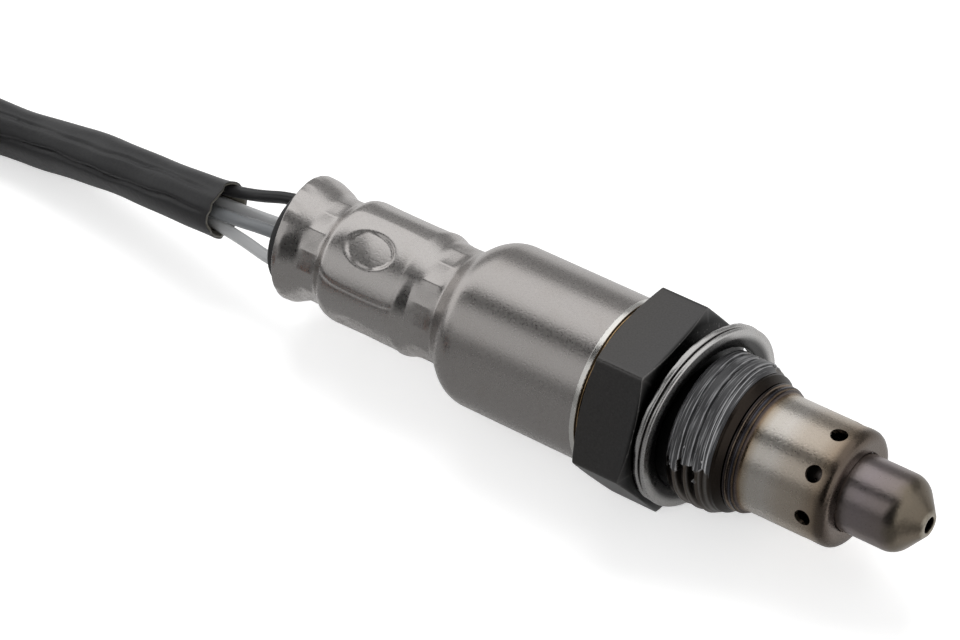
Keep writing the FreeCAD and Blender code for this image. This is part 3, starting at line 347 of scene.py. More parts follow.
# %% Steel finishes
# Each tint is a place along the axis in mm and the colour there.
BEAD_TINTS = [
    (-12.65, (0.22, 0.19, 0.14)), (-12.54, (0.08, 0.065, 0.04)), (-12.42, (0.85, 0.84, 0.81)),
    (-11.84, (0.88, 0.86, 0.82)), (-11.74, (0.42, 0.28, 0.14)), (-11.66, (0.12, 0.09, 0.06)),
    (-11.55, (0.50, 0.34, 0.18)), (-11.4, (0.24, 0.15, 0.09)),
]
GUARD_TINTS = [
    (6.0, (0.018, 0.014, 0.012)), (6.3, (0.06, 0.05, 0.05)), (6.5, (0.02, 0.016, 0.015)),
    (6.62, (0.27, 0.21, 0.16)), (6.74, (0.025, 0.02, 0.022)), (7.05, (0.08, 0.08, 0.10)),
    (7.26, (0.02, 0.018, 0.02)), (7.4, (0.20, 0.14, 0.09)), (7.52, (0.03, 0.025, 0.03)),
    (7.7, (0.10, 0.08, 0.075)), (7.95, (0.28, 0.20, 0.13)), (8.3, (0.46, 0.39, 0.31)),
    (9.2, (0.62, 0.58, 0.53)), (11.0, (0.65, 0.61, 0.565)), (13.0, (0.56, 0.495, 0.425)),
    (15.5, (0.50, 0.43, 0.355)), (17.2, (0.36, 0.285, 0.215)), (17.9, (0.15, 0.117, 0.09)),
    (18.6, (0.12, 0.095, 0.077)), (19.0, (0.17, 0.14, 0.12)),
]
# The paler colour at 28.0 mm, on the nose's front rim round its hole, is a painted highlight.
NOSE_TINTS = [
    (18.5, (0.30, 0.265, 0.25)), (21.0, (0.30, 0.26, 0.265)), (24.5, (0.27, 0.23, 0.215)),
    (25.6, (0.18, 0.153, 0.118)), (27.8, (0.15, 0.125, 0.095)), (28.0, (0.30, 0.27, 0.22)),
]
SLEEVE_TINTS = [(-60.0, (0.56, 0.535, 0.52)), (-38.0, (0.56, 0.535, 0.52)), (-33.0, (0.485, 0.46, 0.445))]
STEELS = {
    "sleeve_steel": (SLEEVE_TINTS, 0.2, {"size_mm": 0.26, "depth_mm": 0.013, "contrast": 0.3}),
    # The ring is darkened by painted shade on its front face near the bore.
    "ring_steel": ((0.56, 0.55, 0.54), 0.2, {"tarnish": 0.2, "soot": 0.9}),
    "contact_nickel": ((0.60, 0.56, 0.50), 0.25, {}),
    "terminal_tin": ((0.66, 0.66, 0.65), 0.3, {}),
    "bead_steel": (BEAD_TINTS, 0.14, {"tarnish": 0.15, "wander": 0.04}),
    "guard_steel": (GUARD_TINTS, 0.2, {"size_mm": 0.3, "depth_mm": 0.02, "tarnish": 0.15, "wander": 0.1}),
    "nose_steel": (NOSE_TINTS, 0.22, {"size_mm": 0.3, "depth_mm": 0.02, "tarnish": 0.3, "wander": 0.4}),
}
for name, (colour, rough, details) in STEELS.items():
    FINISH[name] = satin_steel(name, colour, rough, **details)
print("finishes:", len(FINISH))

# %% [markdown]
# ## The shell's own finish
# The shell is dark from heat and brown on the thread. Its hexagon's front face and the neck under the ring are near
# black as painted dark reflection and painted shade, its collar is darkened by painted shade, and painted shade
# darkens the grooves of its thread. Grey anti-seize paste fills the thread, and it is no metal, so one mask takes
# the metal away where the paste lies; its light streaks and the lines beside the crests are painted highlights. The
# masks are stored on the mesh when the
# shell is made: wear on its edges, paste in the thread, and the grooves between the crests.

# %% Shell finish
# Each tint is a place along the axis in mm and the colour there. The near black from -3.8 to -0.7 mm, on the
# hexagon's front face and the neck under the ring, is painted dark reflection and painted shade; from 5.1 mm the
# collar's dark brown is darkened further by painted shade.
SHELL_TINTS_AND_SHADE = [
    (-17.4, (0.10, 0.095, 0.09)), (-4.2, (0.10, 0.098, 0.098)), (-3.8, (0.016, 0.016, 0.016)),
    (-0.7, (0.012, 0.012, 0.012)), (0.0, (0.17, 0.145, 0.125)), (4.4, (0.11, 0.094, 0.08)),
    (5.1, (0.034, 0.027, 0.022)), (6.1, (0.03, 0.024, 0.02)),
]
RUBBED = (0.34, 0.33, 0.32)
# The near black of the painted shade in the thread's grooves
GROOVE_SHADE = (0.014, 0.012, 0.011)
# The paste's dark grey, and the pale grey of its painted highlights
PASTE_DARK, PASTE_HIGHLIGHT = (0.034, 0.034, 0.036), (0.42, 0.42, 0.43)
# The loose ring has rubbed the hexagon's front face: where that face starts and ends along the axis, and where the
# rubbed part starts and is at its full strength, by radius.
FACE_START, FACE_END = (-3.78, -3.73), (-3.6, -3.66)
RUBBED_RADIUS = (10.9, 10.4)


def metal_wear_and_painted_light(tree, place, grain, x, radius, crest_edge):
    """The shell's own steel: lighter where it is rubbed, with painted highlights beside the thread's crests, and
    painted shade in the thread's grooves and in its darkest tints.
    """
    speckle = use(tree, STAIN, place, Size=0.45, Cover=0.42, Edge=0.12)["Mask"]
    bare = coloured_along(tree, x, SHELL_TINTS_AND_SHADE)
    # The thread's grooves are darkened almost to black by painted shade.
    bare = mixed(tree, product(tree, attribute(tree, "groove"), 0.85), bare, GROOVE_SHADE)
    rubbed_face = product(
        tree, remap(tree, radius, *RUBBED_RADIUS), remap(tree, x, *FACE_START), remap(tree, x, *FACE_END),
        speckle, 0.45,
    )
    wear = product(tree, attribute(tree, "wear"), calc(tree, "MULTIPLY_ADD", speckle, 0.5, 0.25))
    # Beside the thread's crests the bare steel is lightened as painted highlight; the rubbed face is real wear.
    for rubbed in (rubbed_face, product(tree, crest_edge, 0.4)):
        wear = calc(tree, "MAXIMUM", wear, rubbed)
    return scaled(tree, mixed(tree, wear, bare, RUBBED), grain["Tone"])


def shell_finish():
    """Dark turned steel with rubbed edges, a front face and neck darkened by painted dark reflection and painted
    shade, and paste in its thread with painted highlights.
    """
    material, tree, shader, place = new_material("shell_steel")
    grain = use(tree, GRAIN, place, Size=0.22, Contrast=0.5)
    x, y, z = in_mm(tree, place)
    radius, around = round_axis(tree, y, z)
    groove, paste = attribute(tree, "groove"), attribute(tree, "paste")
    crest_edge = product(tree, remap(tree, groove, 0.02, 0.12), remap(tree, groove, 0.45, 0.2))
    metal = metal_wear_and_painted_light(tree, place, grain, x, radius, crest_edge)
    lines = combined(tree, product(tree, x, 6.0), product(tree, around, 1.5))
    streak = noise(tree, lines, 1.0, 4.0)
    # The paste's light streaks and the lines beside its crests are painted highlights.
    light = calc(tree, "MAXIMUM", remap(tree, streak, 0.5, 0.7, to_high=0.6), product(tree, crest_edge, 0.95))
    greased = mixed(tree, light, PASTE_DARK, PASTE_HIGHLIGHT)
    tree.links.new(mixed(tree, paste, metal, greased), shader.inputs["Base Color"])
    tree.links.new(calc(tree, "SUBTRACT", 1.0, paste), shader.inputs["Metallic"])
    tree.links.new(calc(tree, "MULTIPLY_ADD", grain["Height"], 0.2, 0.26), shader.inputs["Roughness"])
    height = calc(tree, "MULTIPLY_ADD", streak, product(tree, paste, 4.0), grain["Height"])
    bumped(tree, shader, height, 0.01)
    return material


FINISH["shell_steel"] = shell_finish()
print("shell finish:", len(FINISH["shell_steel"].node_tree.nodes), "nodes")

# %% [markdown]
# ## Dressing the model's own pieces
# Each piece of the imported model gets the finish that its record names. Those that are rebuilt below are hidden by
# their stand-ins later on.

# %% Finishes on the model's pieces
for part in frame["record"]["subparts"]:
    node = frame["nodes"][part["node"]]
    node.data.materials.clear()
    node.data.materials.append(FINISH[part["material_slot"]])
print("dressed", len(frame["nodes"]), "pieces")

# %% [markdown]
# ## A route for the cable
# The cable keeps its real length. It leaves the leads at its open mouth, sinks to the floor, and the length that
# is not needed lies in a coil of one and a half turns before it meets its plug. A quadratic NURBS spline makes
# one smooth line from a few points: the first ones are listed, and a loop works out the coil's.

# %% Cable route
FLOOR = -11.0
CABLE_RADIUS = 3.3
LOW_LEVEL = FLOOR + CABLE_RADIUS
TOP_LEVEL = LOW_LEVEL + 2 * CABLE_RADIUS
MOUTH = Vector((-70.2, -1.0, -1.0))
ROUTE_START = [
    MOUTH, Vector((-89.8, 1.24, -4.44)), Vector((-107.5, 1.0, LOW_LEVEL)), Vector((-116.5, 1.0, LOW_LEVEL)),
]
COIL_CENTRE = Vector((-138.0, -32.0, 0.0))
COIL_RADIUS = 33.0
COIL_STEP = 15.0
COIL_TURN = 540.0
CLIMB_START, CLIMB_END = 270.0, 325.0
ROUTE_END = [Vector((-120.0, -65.0, TOP_LEVEL)), Vector((-108.5, -65.0, TOP_LEVEL))]

# The spline runs a little inside its points, so they lie a little outside the coil's radius.
POINT_RADIUS = COIL_RADIUS / math.cos(math.radians(COIL_STEP / 2))


def coil_point(angle):
    """A point of the coil, by degrees turned from where the cable enters."""
    climb = min(max((angle - CLIMB_START) / (CLIMB_END - CLIMB_START), 0.0), 1.0)
    outwards = Vector((-math.sin(math.radians(angle)), math.cos(math.radians(angle)), 0.0))
    height = LOW_LEVEL + (TOP_LEVEL - LOW_LEVEL) * climb
    return COIL_CENTRE + outwards * POINT_RADIUS + Vector((0.0, 0.0, height))


coil_points = [coil_point(COIL_STEP * (k - 0.5)) for k in range(int(COIL_TURN / COIL_STEP) + 2)]
cable_route = [point * MM for point in ROUTE_START + coil_points + ROUTE_END]
print("cable route:", len(cable_route), "points")

# %% [markdown]
# ## Reading a line from a spline
# The cable is more than a round tube: its end is open and its surface has dents. So it is built as rings of
# points along the spline's own line, which Blender gives when the curve is turned into a mesh with no bevel.

# %% Spline helpers
def nurbs_curve(name, points, radius=0.0):
    """A curve object of one smooth open spline through the route, as thick as its radius."""
    curve = bpy.data.curves.new(name, "CURVE")
    curve.dimensions = "3D"
    curve.resolution_u = 12
    curve.bevel_depth = radius
    curve.bevel_resolution = 8
    curve.use_fill_caps = True
    spline = curve.splines.new("NURBS")
    spline.points.add(len(points) - 1)
    for target, point in zip(spline.points, points):
        target.co = (*point, 1.0)
    spline.order_u = 3
    spline.use_endpoint_u = True
    piece = bpy.data.objects.new(name, curve)
    bpy.context.scene.collection.objects.link(piece)
    return piece


def spline_line(points):
    """The line of a route's spline as an array of points in metres."""
    piece = nurbs_curve("line", points)
    bpy.context.view_layer.update()
    mesh = bpy.data.meshes.new_from_object(piece.evaluated_get(bpy.context.evaluated_depsgraph_get()))
    line = np.array([vertex.co[:] for vertex in mesh.vertices])
    bpy.data.objects.remove(piece)
    bpy.data.meshes.remove(mesh)
    return line


def lengths_along(line):
    """How far each point of a line is from its start."""
    return np.concatenate([[0.0], np.cumsum(np.linalg.norm(np.diff(line, axis=0), axis=1))])


cable_line = spline_line(cable_route)
cable_length = lengths_along(cable_line)[-1]
print("cable length:", round(cable_length / MM, 1), "mm in", len(cable_line), "points")

# %% [markdown]
# ## Building meshes from rings
# Turned pieces and tubes are both stacks of rings. One helper joins rings of points into a closed skin, and the
# mesh is then checked so that its faces point outwards.

# %% Mesh helpers
SHARP = 40.0


def smoothed(mesh, sharp=SHARP):
    """Smooth shading, but for edges that are sharper than some degrees."""
    mesh.shade_smooth()
    mesh.set_sharp_from_angle(angle=math.radians(sharp))


def skin(name, rings, material, slot, closed=False, sharp=SHARP, **stored):
    """A piece from an array of rings by points, closed from its last ring to its first or left open.

    Each stored array holds one value for each point, which a material can read by its name.
    """
    count, columns = rings.shape[:2]
    index = np.arange(count * columns).reshape(count, columns)
    first = index if closed else index[:-1]
    second = np.roll(index, -1, 0) if closed else index[1:]
    quads = np.stack([first, np.roll(first, -1, 1), np.roll(second, -1, 1), second], -1).reshape(-1, 4)
    mesh = bpy.data.meshes.new(name)
    mesh.from_pydata(rings.reshape(-1, 3).tolist(), [], quads.tolist())
    for label, values in stored.items():
        kept = mesh.attributes.new(label, "FLOAT", "POINT")
        kept.data.foreach_set("value", np.ravel(values).astype(np.float32))
    return finished(name, mesh, material, sharp)


def finished(name, mesh, material, sharp):
    """A piece from a mesh: doubles merged, faces turned outwards, smooth but for its sharp edges."""
    work = bmesh.new()
    work.from_mesh(mesh)
    bmesh.ops.remove_doubles(work, verts=work.verts, dist=1e-7)
    bmesh.ops.recalc_face_normals(work, faces=work.faces)
    work.to_mesh(mesh)
    work.free()
    smoothed(mesh, sharp)
    mesh.materials.append(FINISH[material])
    piece = bpy.data.objects.new(name, mesh)
    bpy.context.scene.collection.objects.link(piece)
    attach(piece, BODY)
    return piece


def triangles(piece):
    """How many triangles a piece's mesh has."""
    return sum(len(face.vertices) - 2 for face in piece.data.polygons)


def outline(corners):
    """A closed outline in mm from (along, radius, rounding, step) corners.

    A step is the longest run between two points from that corner to the next.
    """
    chain = []
    for k, (along, radius, rounding, step) in enumerate(corners):
        corner = complex(along, radius)
        before, after = complex(*corners[k - 1][:2]), complex(*corners[(k + 1) % len(corners)][:2])
        to_before, to_after = (side / abs(side) for side in (before - corner, after - corner))
        half = math.acos(max(-1.0, min(1.0, (to_before * to_after.conjugate()).real))) / 2
        reach = min(rounding / math.tan(half), 0.49 * abs(before - corner), 0.49 * abs(after - corner))
        if reach < 1e-4:
            chain.append((corner, step))
            continue
        arc = reach * math.tan(half)
        middle = to_before + to_after
        centre = corner + middle / abs(middle) * arc / math.sin(half)
        start, end = corner + to_before * reach - centre, corner + to_after * reach - centre
        sweep = np.angle(end / start)
        pieces = max(3, math.ceil(abs(sweep) * arc / min(step, 0.4)))
        chain += [(centre + start * np.exp(1j * sweep * part / pieces), step) for part in range(pieces + 1)]
    filled = []
    for (point, step), (following, _) in zip(chain, chain[1:] + chain[:1]):
        parts = max(1, math.ceil(abs(following - point) / step))
        filled += [point + (following - point) * part / parts for part in range(parts)]
    return np.array([(point.real, point.imag) for point in filled])


def turned_rings(profile, columns, shape=None):
    """Rings round the X axis from (along, radius) rows in mm; shape may change a radius by its place."""
    angle = np.linspace(0.0, 2.0 * np.pi, columns, endpoint=False)
    along, radius, angle = np.broadcast_arrays(profile[:, 0][:, None], profile[:, 1][:, None], angle[None])
    if shape is not None:
        radius = shape(along, radius, angle)
    return np.stack([along, -radius * np.sin(angle), radius * np.cos(angle)], -1) * MM


print("mesh helpers ready")

# %% [markdown]
# ## The shell: hexagon and turned steel
# The shell is one turned piece. Its hexagon is the part of a bar that the lathe left standing, with a cone turned
# on each end, so the radius at any place is the smaller of the hexagon's and the cone's. A formula gives that
# radius, and a soft minimum rounds the edge between them as tumbling does.

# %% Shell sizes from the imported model
shell_low, shell_high = (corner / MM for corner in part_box("hex_shell"))
SHELL_REAR, SHELL_FRONT = shell_low.x, shell_high.x
HEX_FLAT = shell_high.z
HEX_CORNER = HEX_FLAT / math.cos(math.radians(30.0))
HEX_TURNED = HEX_CORNER - 0.06
HEX_REAR, HEX_FRONT = -10.9, -3.7
HEX_FACE = 10.9
HEX_CHAMFER = 0.6
THREAD_RADIUS = 9.0
THREAD_START, THREAD_END = -0.7, 5.0
THREAD_FULL_END = 3.6
EDGE_SOFTNESS = 0.07
# Radii of the spigot in the sleeve, the undercut behind the thread, the collar, the guard's seat and the bore
SPIGOT_RADIUS, UNDERCUT_RADIUS, COLLAR_RADIUS, SEAT_RADIUS, BORE_RADIUS = 9.4, 8.2, 8.25, 6.42, 4.6
COLLAR_END = 6.05
print("hexagon:", round(2 * HEX_FLAT, 2), "mm across flats")

# %% Shell blank
def soft_least(first, second, softness):
    """The smaller of two values, rounded where they meet."""
    least = np.minimum(first, second)
    return least - softness * np.log(np.exp((least - first) / softness) + np.exp((least - second) / softness))


def flat_and_cone(along, angle):
    """The radius of the hexagon's flats, with its corners turned off, and of its chamfers."""
    flat = HEX_FLAT / np.cos(np.mod(angle + np.pi / 6, np.pi / 3) - np.pi / 6)
    inset = np.minimum(along - HEX_REAR, HEX_FRONT - along)
    cone = HEX_FACE + (HEX_CORNER - HEX_FACE) * inset / HEX_CHAMFER
    return np.minimum(flat, HEX_TURNED), cone


def hexagon_radius(along, radius, angle):
    """The radius of the chamfered hexagon, and of the turned steel elsewhere."""
    flat, cone = flat_and_cone(along, angle)
    bar = soft_least(flat, cone, EDGE_SOFTNESS)
    on_bar = (radius > HEX_FACE - 0.01) & (along > HEX_REAR - 1e-6) & (along < HEX_FRONT + 1e-6)
    return np.where(on_bar, bar, radius)


def hexagon_wear(along, angle):
    """How rubbed a point is: 1 on the hexagon's edges, where tools and pockets reach it."""
    flat, cone = flat_and_cone(along, angle)
    on_bar = (along > HEX_REAR + 0.03) & (along < HEX_FRONT - 0.03)
    chamfer_edge = np.exp(-(((flat - cone) / 0.13) ** 2))
    corner_edge = np.exp(-(((HEX_TURNED - flat) / 0.05) ** 2))
    return np.where(on_bar, chamfer_edge + 0.4 * corner_edge, 0.0)


blank = outline([
    (SHELL_REAR, 6.0, 0.0, 4.0),
    (SHELL_REAR, SPIGOT_RADIUS, 0.3, 2.0),
    (HEX_REAR, SPIGOT_RADIUS, 0.0, 1.0),
    (HEX_REAR, HEX_FACE, 0.0, 0.05),
    (HEX_REAR + 1.0, HEX_FACE, 0.0, 1.3),
    (HEX_FRONT - 1.0, HEX_FACE, 0.0, 0.05),
    (HEX_FRONT, HEX_FACE, 0.0, 1.0),
    (HEX_FRONT, UNDERCUT_RADIUS, 0.2, 1.0),
    (THREAD_START, UNDERCUT_RADIUS, 0.1, 0.08),
    (0.0, THREAD_RADIUS, 0.0, 0.08),
    (THREAD_FULL_END, THREAD_RADIUS, 0.0, 0.08),
    (THREAD_END, COLLAR_RADIUS, 0.1, 0.2),
    (COLLAR_END - 0.7, COLLAR_RADIUS, 0.2, 0.2),
    (COLLAR_END, COLLAR_RADIUS - 0.7, 0.05, 1.0),
    (COLLAR_END, SEAT_RADIUS, 0.0, 3.0),
    (SHELL_FRONT, SEAT_RADIUS, 0.0, 1.0),
    (SHELL_FRONT, BORE_RADIUS, 0.0, 6.0),
    (1.2, BORE_RADIUS, 0.0, 2.0),
    (1.2, 6.0, 0.0, 8.0),
])
SHELL_COLUMNS = 360
shell_angles = np.linspace(0.0, 2.0 * np.pi, SHELL_COLUMNS, endpoint=False)
wear = hexagon_wear(blank[:, 0][:, None], shell_angles[None])
shell_rings = turned_rings(blank, SHELL_COLUMNS, hexagon_radius)
shell = skin("shell", shell_rings, "shell_steel", "shell_steel", closed=True, wear=wear)
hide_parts("hex_shell")
print("shell blank:", triangles(shell), "triangles")

# %% [markdown]
# ## The thread and its paste
# The thread is cut into the blank by Geometry Nodes. Each point of the blank has a place along the axis and an
# angle round it, and their sum says where the point is on the helix, from one crest to the next. Anti-seize paste
# fills the grooves on the upper side and ends in a ragged edge. The tree stores how much paste covers each point,
# so that the material can read it.

# %% Geometry tree helpers
def geometry_tree(name, numbers, whole=()):
    """A Geometry Nodes tree with a mesh input, named inputs and a Material input."""
    tree = bpy.data.node_groups.new(name, "GeometryNodeTree")
    tree.interface.new_socket("Geometry", in_out="OUTPUT", socket_type="NodeSocketGeometry")
    tree.interface.new_socket("Geometry", in_out="INPUT", socket_type="NodeSocketGeometry")
    for label, value in dict(numbers).items():
        tree.interface.new_socket(label, in_out="INPUT", socket_type="NodeSocketFloat").default_value = value
    for label, value in dict(whole).items():
        tree.interface.new_socket(label, in_out="INPUT", socket_type="NodeSocketInt").default_value = value
    tree.interface.new_socket("Material", in_out="INPUT", socket_type="NodeSocketMaterial")
    return tree, tree.nodes.new("NodeGroupInput").outputs


def end_tree(tree, given, geometry):
    """Ends a tree as the export needs it: real meshes with a material."""
    real = add(tree, "GeometryNodeRealizeInstances", {0: geometry}).outputs[0]
    inputs = {"Geometry": real, "Material": given["Material"]}
    coated = add(tree, "GeometryNodeSetMaterial", inputs).outputs[0]
    tree.links.new(coated, tree.nodes.new("NodeGroupOutput").inputs[0])


def run_tree(piece, tree, material, **values):
    """Runs a tree on a piece with values for its named inputs and keeps the result as a plain mesh."""
    modifier = piece.modifiers.new(tree.name, "NODES")
    modifier.node_group = tree
    named = {label.replace("_", " "): value for label, value in values.items()}
    named["Material"] = FINISH[material]
    for item in tree.interface.items_tree:
        if item.in_out == "INPUT" and item.name in named:
            modifier[item.identifier] = named[item.name]
    depsgraph = bpy.context.evaluated_depsgraph_get()
    made = bpy.data.meshes.new_from_object(
        piece.evaluated_get(depsgraph), preserve_all_data_layers=True, depsgraph=depsgraph
    )
    piece.modifiers.remove(modifier)
    piece.data = made
    smoothed(made)


def from_axis(tree, position):
    """The part of a place that points away from the sensor's axis."""
    inputs = {0: position, 1: (0.0, 1.0, 1.0)}
    return add(tree, "ShaderNodeVectorMath", inputs, operation="MULTIPLY").outputs[0]

# %% Thread form
# Shares of the way from the middle of a groove to the middle of a crest: where the flank starts and ends
FLANK = (0.22, 0.86)
FADE_BEFORE, FADE_AFTER = 0.3, 0.4
OUTSIDE_RADIUS = 7.0


def thread_ends(tree, given, x, radius):
    """How deep the cut is along the axis, from 0 to 1, and where the outer surface may move at all."""
    start, end = given["Start"], given["End"]
    fade_in = remap(tree, x, calc(tree, "SUBTRACT", start, FADE_BEFORE), calc(tree, "ADD", start, FADE_AFTER))
    fade_out = remap(tree, x, end, calc(tree, "SUBTRACT", end, given["Run-out"]))
    after, before = calc(tree, "GREATER_THAN", x, start), calc(tree, "LESS_THAN", x, end)
    outside = calc(tree, "GREATER_THAN", radius, OUTSIDE_RADIUS)
    return product(tree, fade_in, fade_out), product(tree, after, before, outside)


def thread_height(tree, given, x, around):
    """The distance from the middle of a groove, and the height that the cut leaves, both from 0 to 1."""
    turns = calc(tree, "DIVIDE", around, 2.0 * math.pi)
    phase = calc(tree, "FRACT", calc(tree, "SUBTRACT", calc(tree, "DIVIDE", x, given["Pitch"]), turns))
    from_root = calc(tree, "ABSOLUTE", calc(tree, "MULTIPLY_ADD", phase, 2.0, -1.0))
    return from_root, remap(tree, from_root, *FLANK)


def sunk_radius(tree, given, depth, ends, height):
    """The crest's radius less a depth, which fades at the thread's ends and where the height is 1."""
    sunk = product(tree, depth, ends, calc(tree, "SUBTRACT", 1.0, height))
    return calc(tree, "SUBTRACT", given["Crest"], sunk)


print("thread form ready")

# %% Paste
# The paste's own flank, as shares of the way from groove to crest, and how sharply its ragged edge ends
PASTE_BAND, PASTE_EDGE = (0.10, 0.34), (-0.03, 0.06)
# How ragged that edge is, and in mm how far its streaks rise and how much it may stand above the blank
PASTE_TEAR, PASTE_STREAK, PASTE_ABOVE = 1.1, 0.3, 0.08


def paste_cover(tree, given, place, around):
    """Where the paste lies: on one side of the thread, with a ragged edge."""
    facing = calc(tree, "COSINE", calc(tree, "SUBTRACT", around, given["Paste Middle"]))
    lumps = calc(tree, "SUBTRACT", noise(tree, place, 0.55, 4.0), 0.5)
    ragged = calc(tree, "MULTIPLY_ADD", lumps, PASTE_TEAR, facing)
    return remap(tree, calc(tree, "SUBTRACT", ragged, given["Paste Reach"]), *PASTE_EDGE)


def paste_level(tree, given, x, radius, around, ends, band):
    """The radius up to which the paste fills the thread, with streaks round it."""
    seed = calc(tree, "MULTIPLY", given["Seed"], 10.0)
    drawn = combined(tree, calc(tree, "ADD", x, seed), calc(tree, "MULTIPLY", around, 1.6))
    streaks = calc(tree, "SUBTRACT", noise(tree, drawn, 1.6, 4.0), 0.42)
    level = sunk_radius(tree, given, given["Paste Depth"], ends, band)
    level = calc(tree, "MULTIPLY_ADD", streaks, PASTE_STREAK, level)
    return calc(tree, "MINIMUM", level, calc(tree, "ADD", radius, PASTE_ABOVE))


print("paste ready")

# %% Thread tree
def thread_tree():
    """Cuts a thread and lays paste in its grooves, in the outer surface between Start and End."""
    tree, given = geometry_tree("thread", {
        "Pitch": 1.5, "Depth": 0.92, "Crest": 9.0, "Start": 0.0, "End": 5.0, "Run-out": 1.4,
        "Paste Depth": 0.45, "Paste Middle": 0.0, "Paste Reach": 0.0,
    }, {"Seed": 5})
    position = add(tree, "GeometryNodeInputPosition").outputs[0]
    place = scaled(tree, position, 1.0 / MM)
    x, y, z = add(tree, "ShaderNodeSeparateXYZ", {0: place}).outputs
    radius, around = round_axis(tree, y, z)
    ends, zone = thread_ends(tree, given, x, radius)
    from_root, height = thread_height(tree, given, x, around)
    threaded = calc(tree, "MINIMUM", radius, sunk_radius(tree, given, given["Depth"], ends, height))

    band = remap(tree, from_root, *PASTE_BAND)
    covered = paste_cover(tree, given, place, around)
    level = paste_level(tree, given, x, radius, around, ends, band)
    pasted = product(tree, covered, zone)
    rise = calc(tree, "SUBTRACT", calc(tree, "MAXIMUM", threaded, level), threaded)
    moved = calc(tree, "SUBTRACT", calc(tree, "MULTIPLY_ADD", rise, pasted, threaded), radius)

    share = product(tree, calc(tree, "DIVIDE", moved, radius), zone, MM)
    offset = scaled(tree, from_axis(tree, place), share)
    inputs = {"Geometry": given["Geometry"], "Offset": offset}
    shaped = add(tree, "GeometryNodeSetPosition", inputs).outputs[0]
    left = calc(tree, "ADD", height, product(tree, calc(tree, "SUBTRACT", band, height), covered))
    groove = product(tree, calc(tree, "SUBTRACT", 1.0, left), product(tree, zone, ends))
    for label, value in (("paste", pasted), ("groove", groove)):
        inputs = {"Geometry": shaped, "Name": label, "Value": value}
        stored = add(tree, "GeometryNodeStoreNamedAttribute", inputs, data_type="FLOAT", domain="POINT")
        shaped = stored.outputs[0]
    end_tree(tree, given, shaped)
    return tree


PASTE_MIDDLE, PASTE_REACH = math.radians(100.0), 0.42
run_tree(
    shell, thread_tree(), "shell_steel", Crest=THREAD_RADIUS, Start=THREAD_START, End=THREAD_END,
    Paste_Middle=PASTE_MIDDLE, Paste_Reach=PASTE_REACH,
)
print("shell with its thread:", triangles(shell), "triangles")

# %% [markdown]
# ## The sealing ring
# The ring is folded from sheet: two layers with a groove between their rounded rims. It is loose on its neck, so
# it leans against the hexagon. Its section is turned about the axis, and the ring is then leaned and shifted.

# %% Sealing ring
RING_BORE, RING_RADIUS = 8.75, 11.2
RING_THICKNESS, RING_WEB = 1.5, 9.9
RING_FRONT_LAYER, RING_REAR_LAYER = 0.56, 0.72
RING_LEAN, RING_LEAN_DIRECTION = math.radians(7.3), math.radians(94.3)
RING_PLACE = Vector((-2.243, 0.59, 0.30))
RING_COLUMNS = 240
# Painted shade darkens the ring's front face inside this radius in mm, fading over this width, and its bore, where
# the ring meets its neck.
SHADE_RADIUS, SHADE_FADE = 10.5, 0.7
# The waves of the rear layer's rim: height in mm, how many go round, and where they start
RIM_WAVES = ((0.05, 7, 1.0), (0.04, 17, 0.0), (0.02, 41, 0.0))


def ring_radius(along, radius, angle):
    """The rear layer's rim is less even than the front one's."""
    rear = np.clip((RING_THICKNESS / 2 - along) / RING_THICKNESS * 2, 0, 1)
    outer = np.clip((radius - RING_WEB) / 0.8, 0, 1)
    return radius + rear * outer * sum(height * np.sin(count * angle + first) for height, count, first in RIM_WAVES)


ring_section = outline([
    (0.0, RING_BORE, 0.1, 0.5),
    (RING_THICKNESS - 0.3, RING_BORE, 0.15, 0.3),
    (RING_THICKNESS, RING_BORE + 1.3, 0.8, 0.2),
    (RING_THICKNESS, RING_RADIUS, 0.28, 0.1),
    (RING_THICKNESS - RING_FRONT_LAYER, RING_RADIUS, 0.28, 0.3),
    (RING_THICKNESS - RING_FRONT_LAYER, RING_WEB, 0.1, 0.2),
    (RING_REAR_LAYER, RING_WEB, 0.1, 0.3),
    (RING_REAR_LAYER, RING_RADIUS, 0.28, 0.1),
    (0.0, RING_RADIUS, 0.28, 0.4),
])


def sootiness(section):
    """How much painted shade darkens each point of the section: the inner part of its front face, and its bore."""
    return np.clip((SHADE_RADIUS - section[:, 1]) / SHADE_FADE, 0.0, 1.0) * (section[:, 0] > RING_THICKNESS / 2)


lean_axis = Vector((0, -math.cos(RING_LEAN_DIRECTION), -math.sin(RING_LEAN_DIRECTION)))
leaned = np.array(Matrix.Rotation(RING_LEAN, 3, lean_axis))
ring_points = turned_rings(ring_section, RING_COLUMNS, ring_radius) @ leaned.T + np.array(RING_PLACE) * MM
ring_soot = np.repeat(sootiness(ring_section)[:, None], RING_COLUMNS, 1)
ring = skin("folded_ring", ring_points, "ring_steel", "ring_steel", closed=True, soot=ring_soot)
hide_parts("sealing_ring")
print("folded ring:", triangles(ring), "triangles")

# %% [markdown]
# ## The sleeve
# The sleeve is one deep-drawn sheet. Crimping jaws have pressed its two necks into facets, and other jaws have
# pressed four pillows with a dimple in each round the bulge between them. All of that is a change of radius by
# place and angle, so a few formulas press the turned sheet, inside and outside alike.

# %% Press helpers
def smooth_step(value, low, high):
    """0 at the low value and 1 at the high one, or turned round where low is the larger, and smooth between."""
    share = np.clip((value - low) / (high - low), 0.0, 1.0)
    return share * share * (3.0 - 2.0 * share)


def from_nearest(angle, first, count):
    """The angle from the nearest of several even places round the axis."""
    step = 2.0 * np.pi / count
    return np.mod(angle - first + step / 2, step) - step / 2


def ridge(away, width):
    """1 in the middle of a line, and falling off on both sides within a width."""
    return np.exp(-((away / width) ** 2))


print("press helpers ready")

# %% Crimps
NECK_RADIUS, REAR_NECK_RADIUS, FLANGE_RADIUS = 7.15, 6.6, 7.65
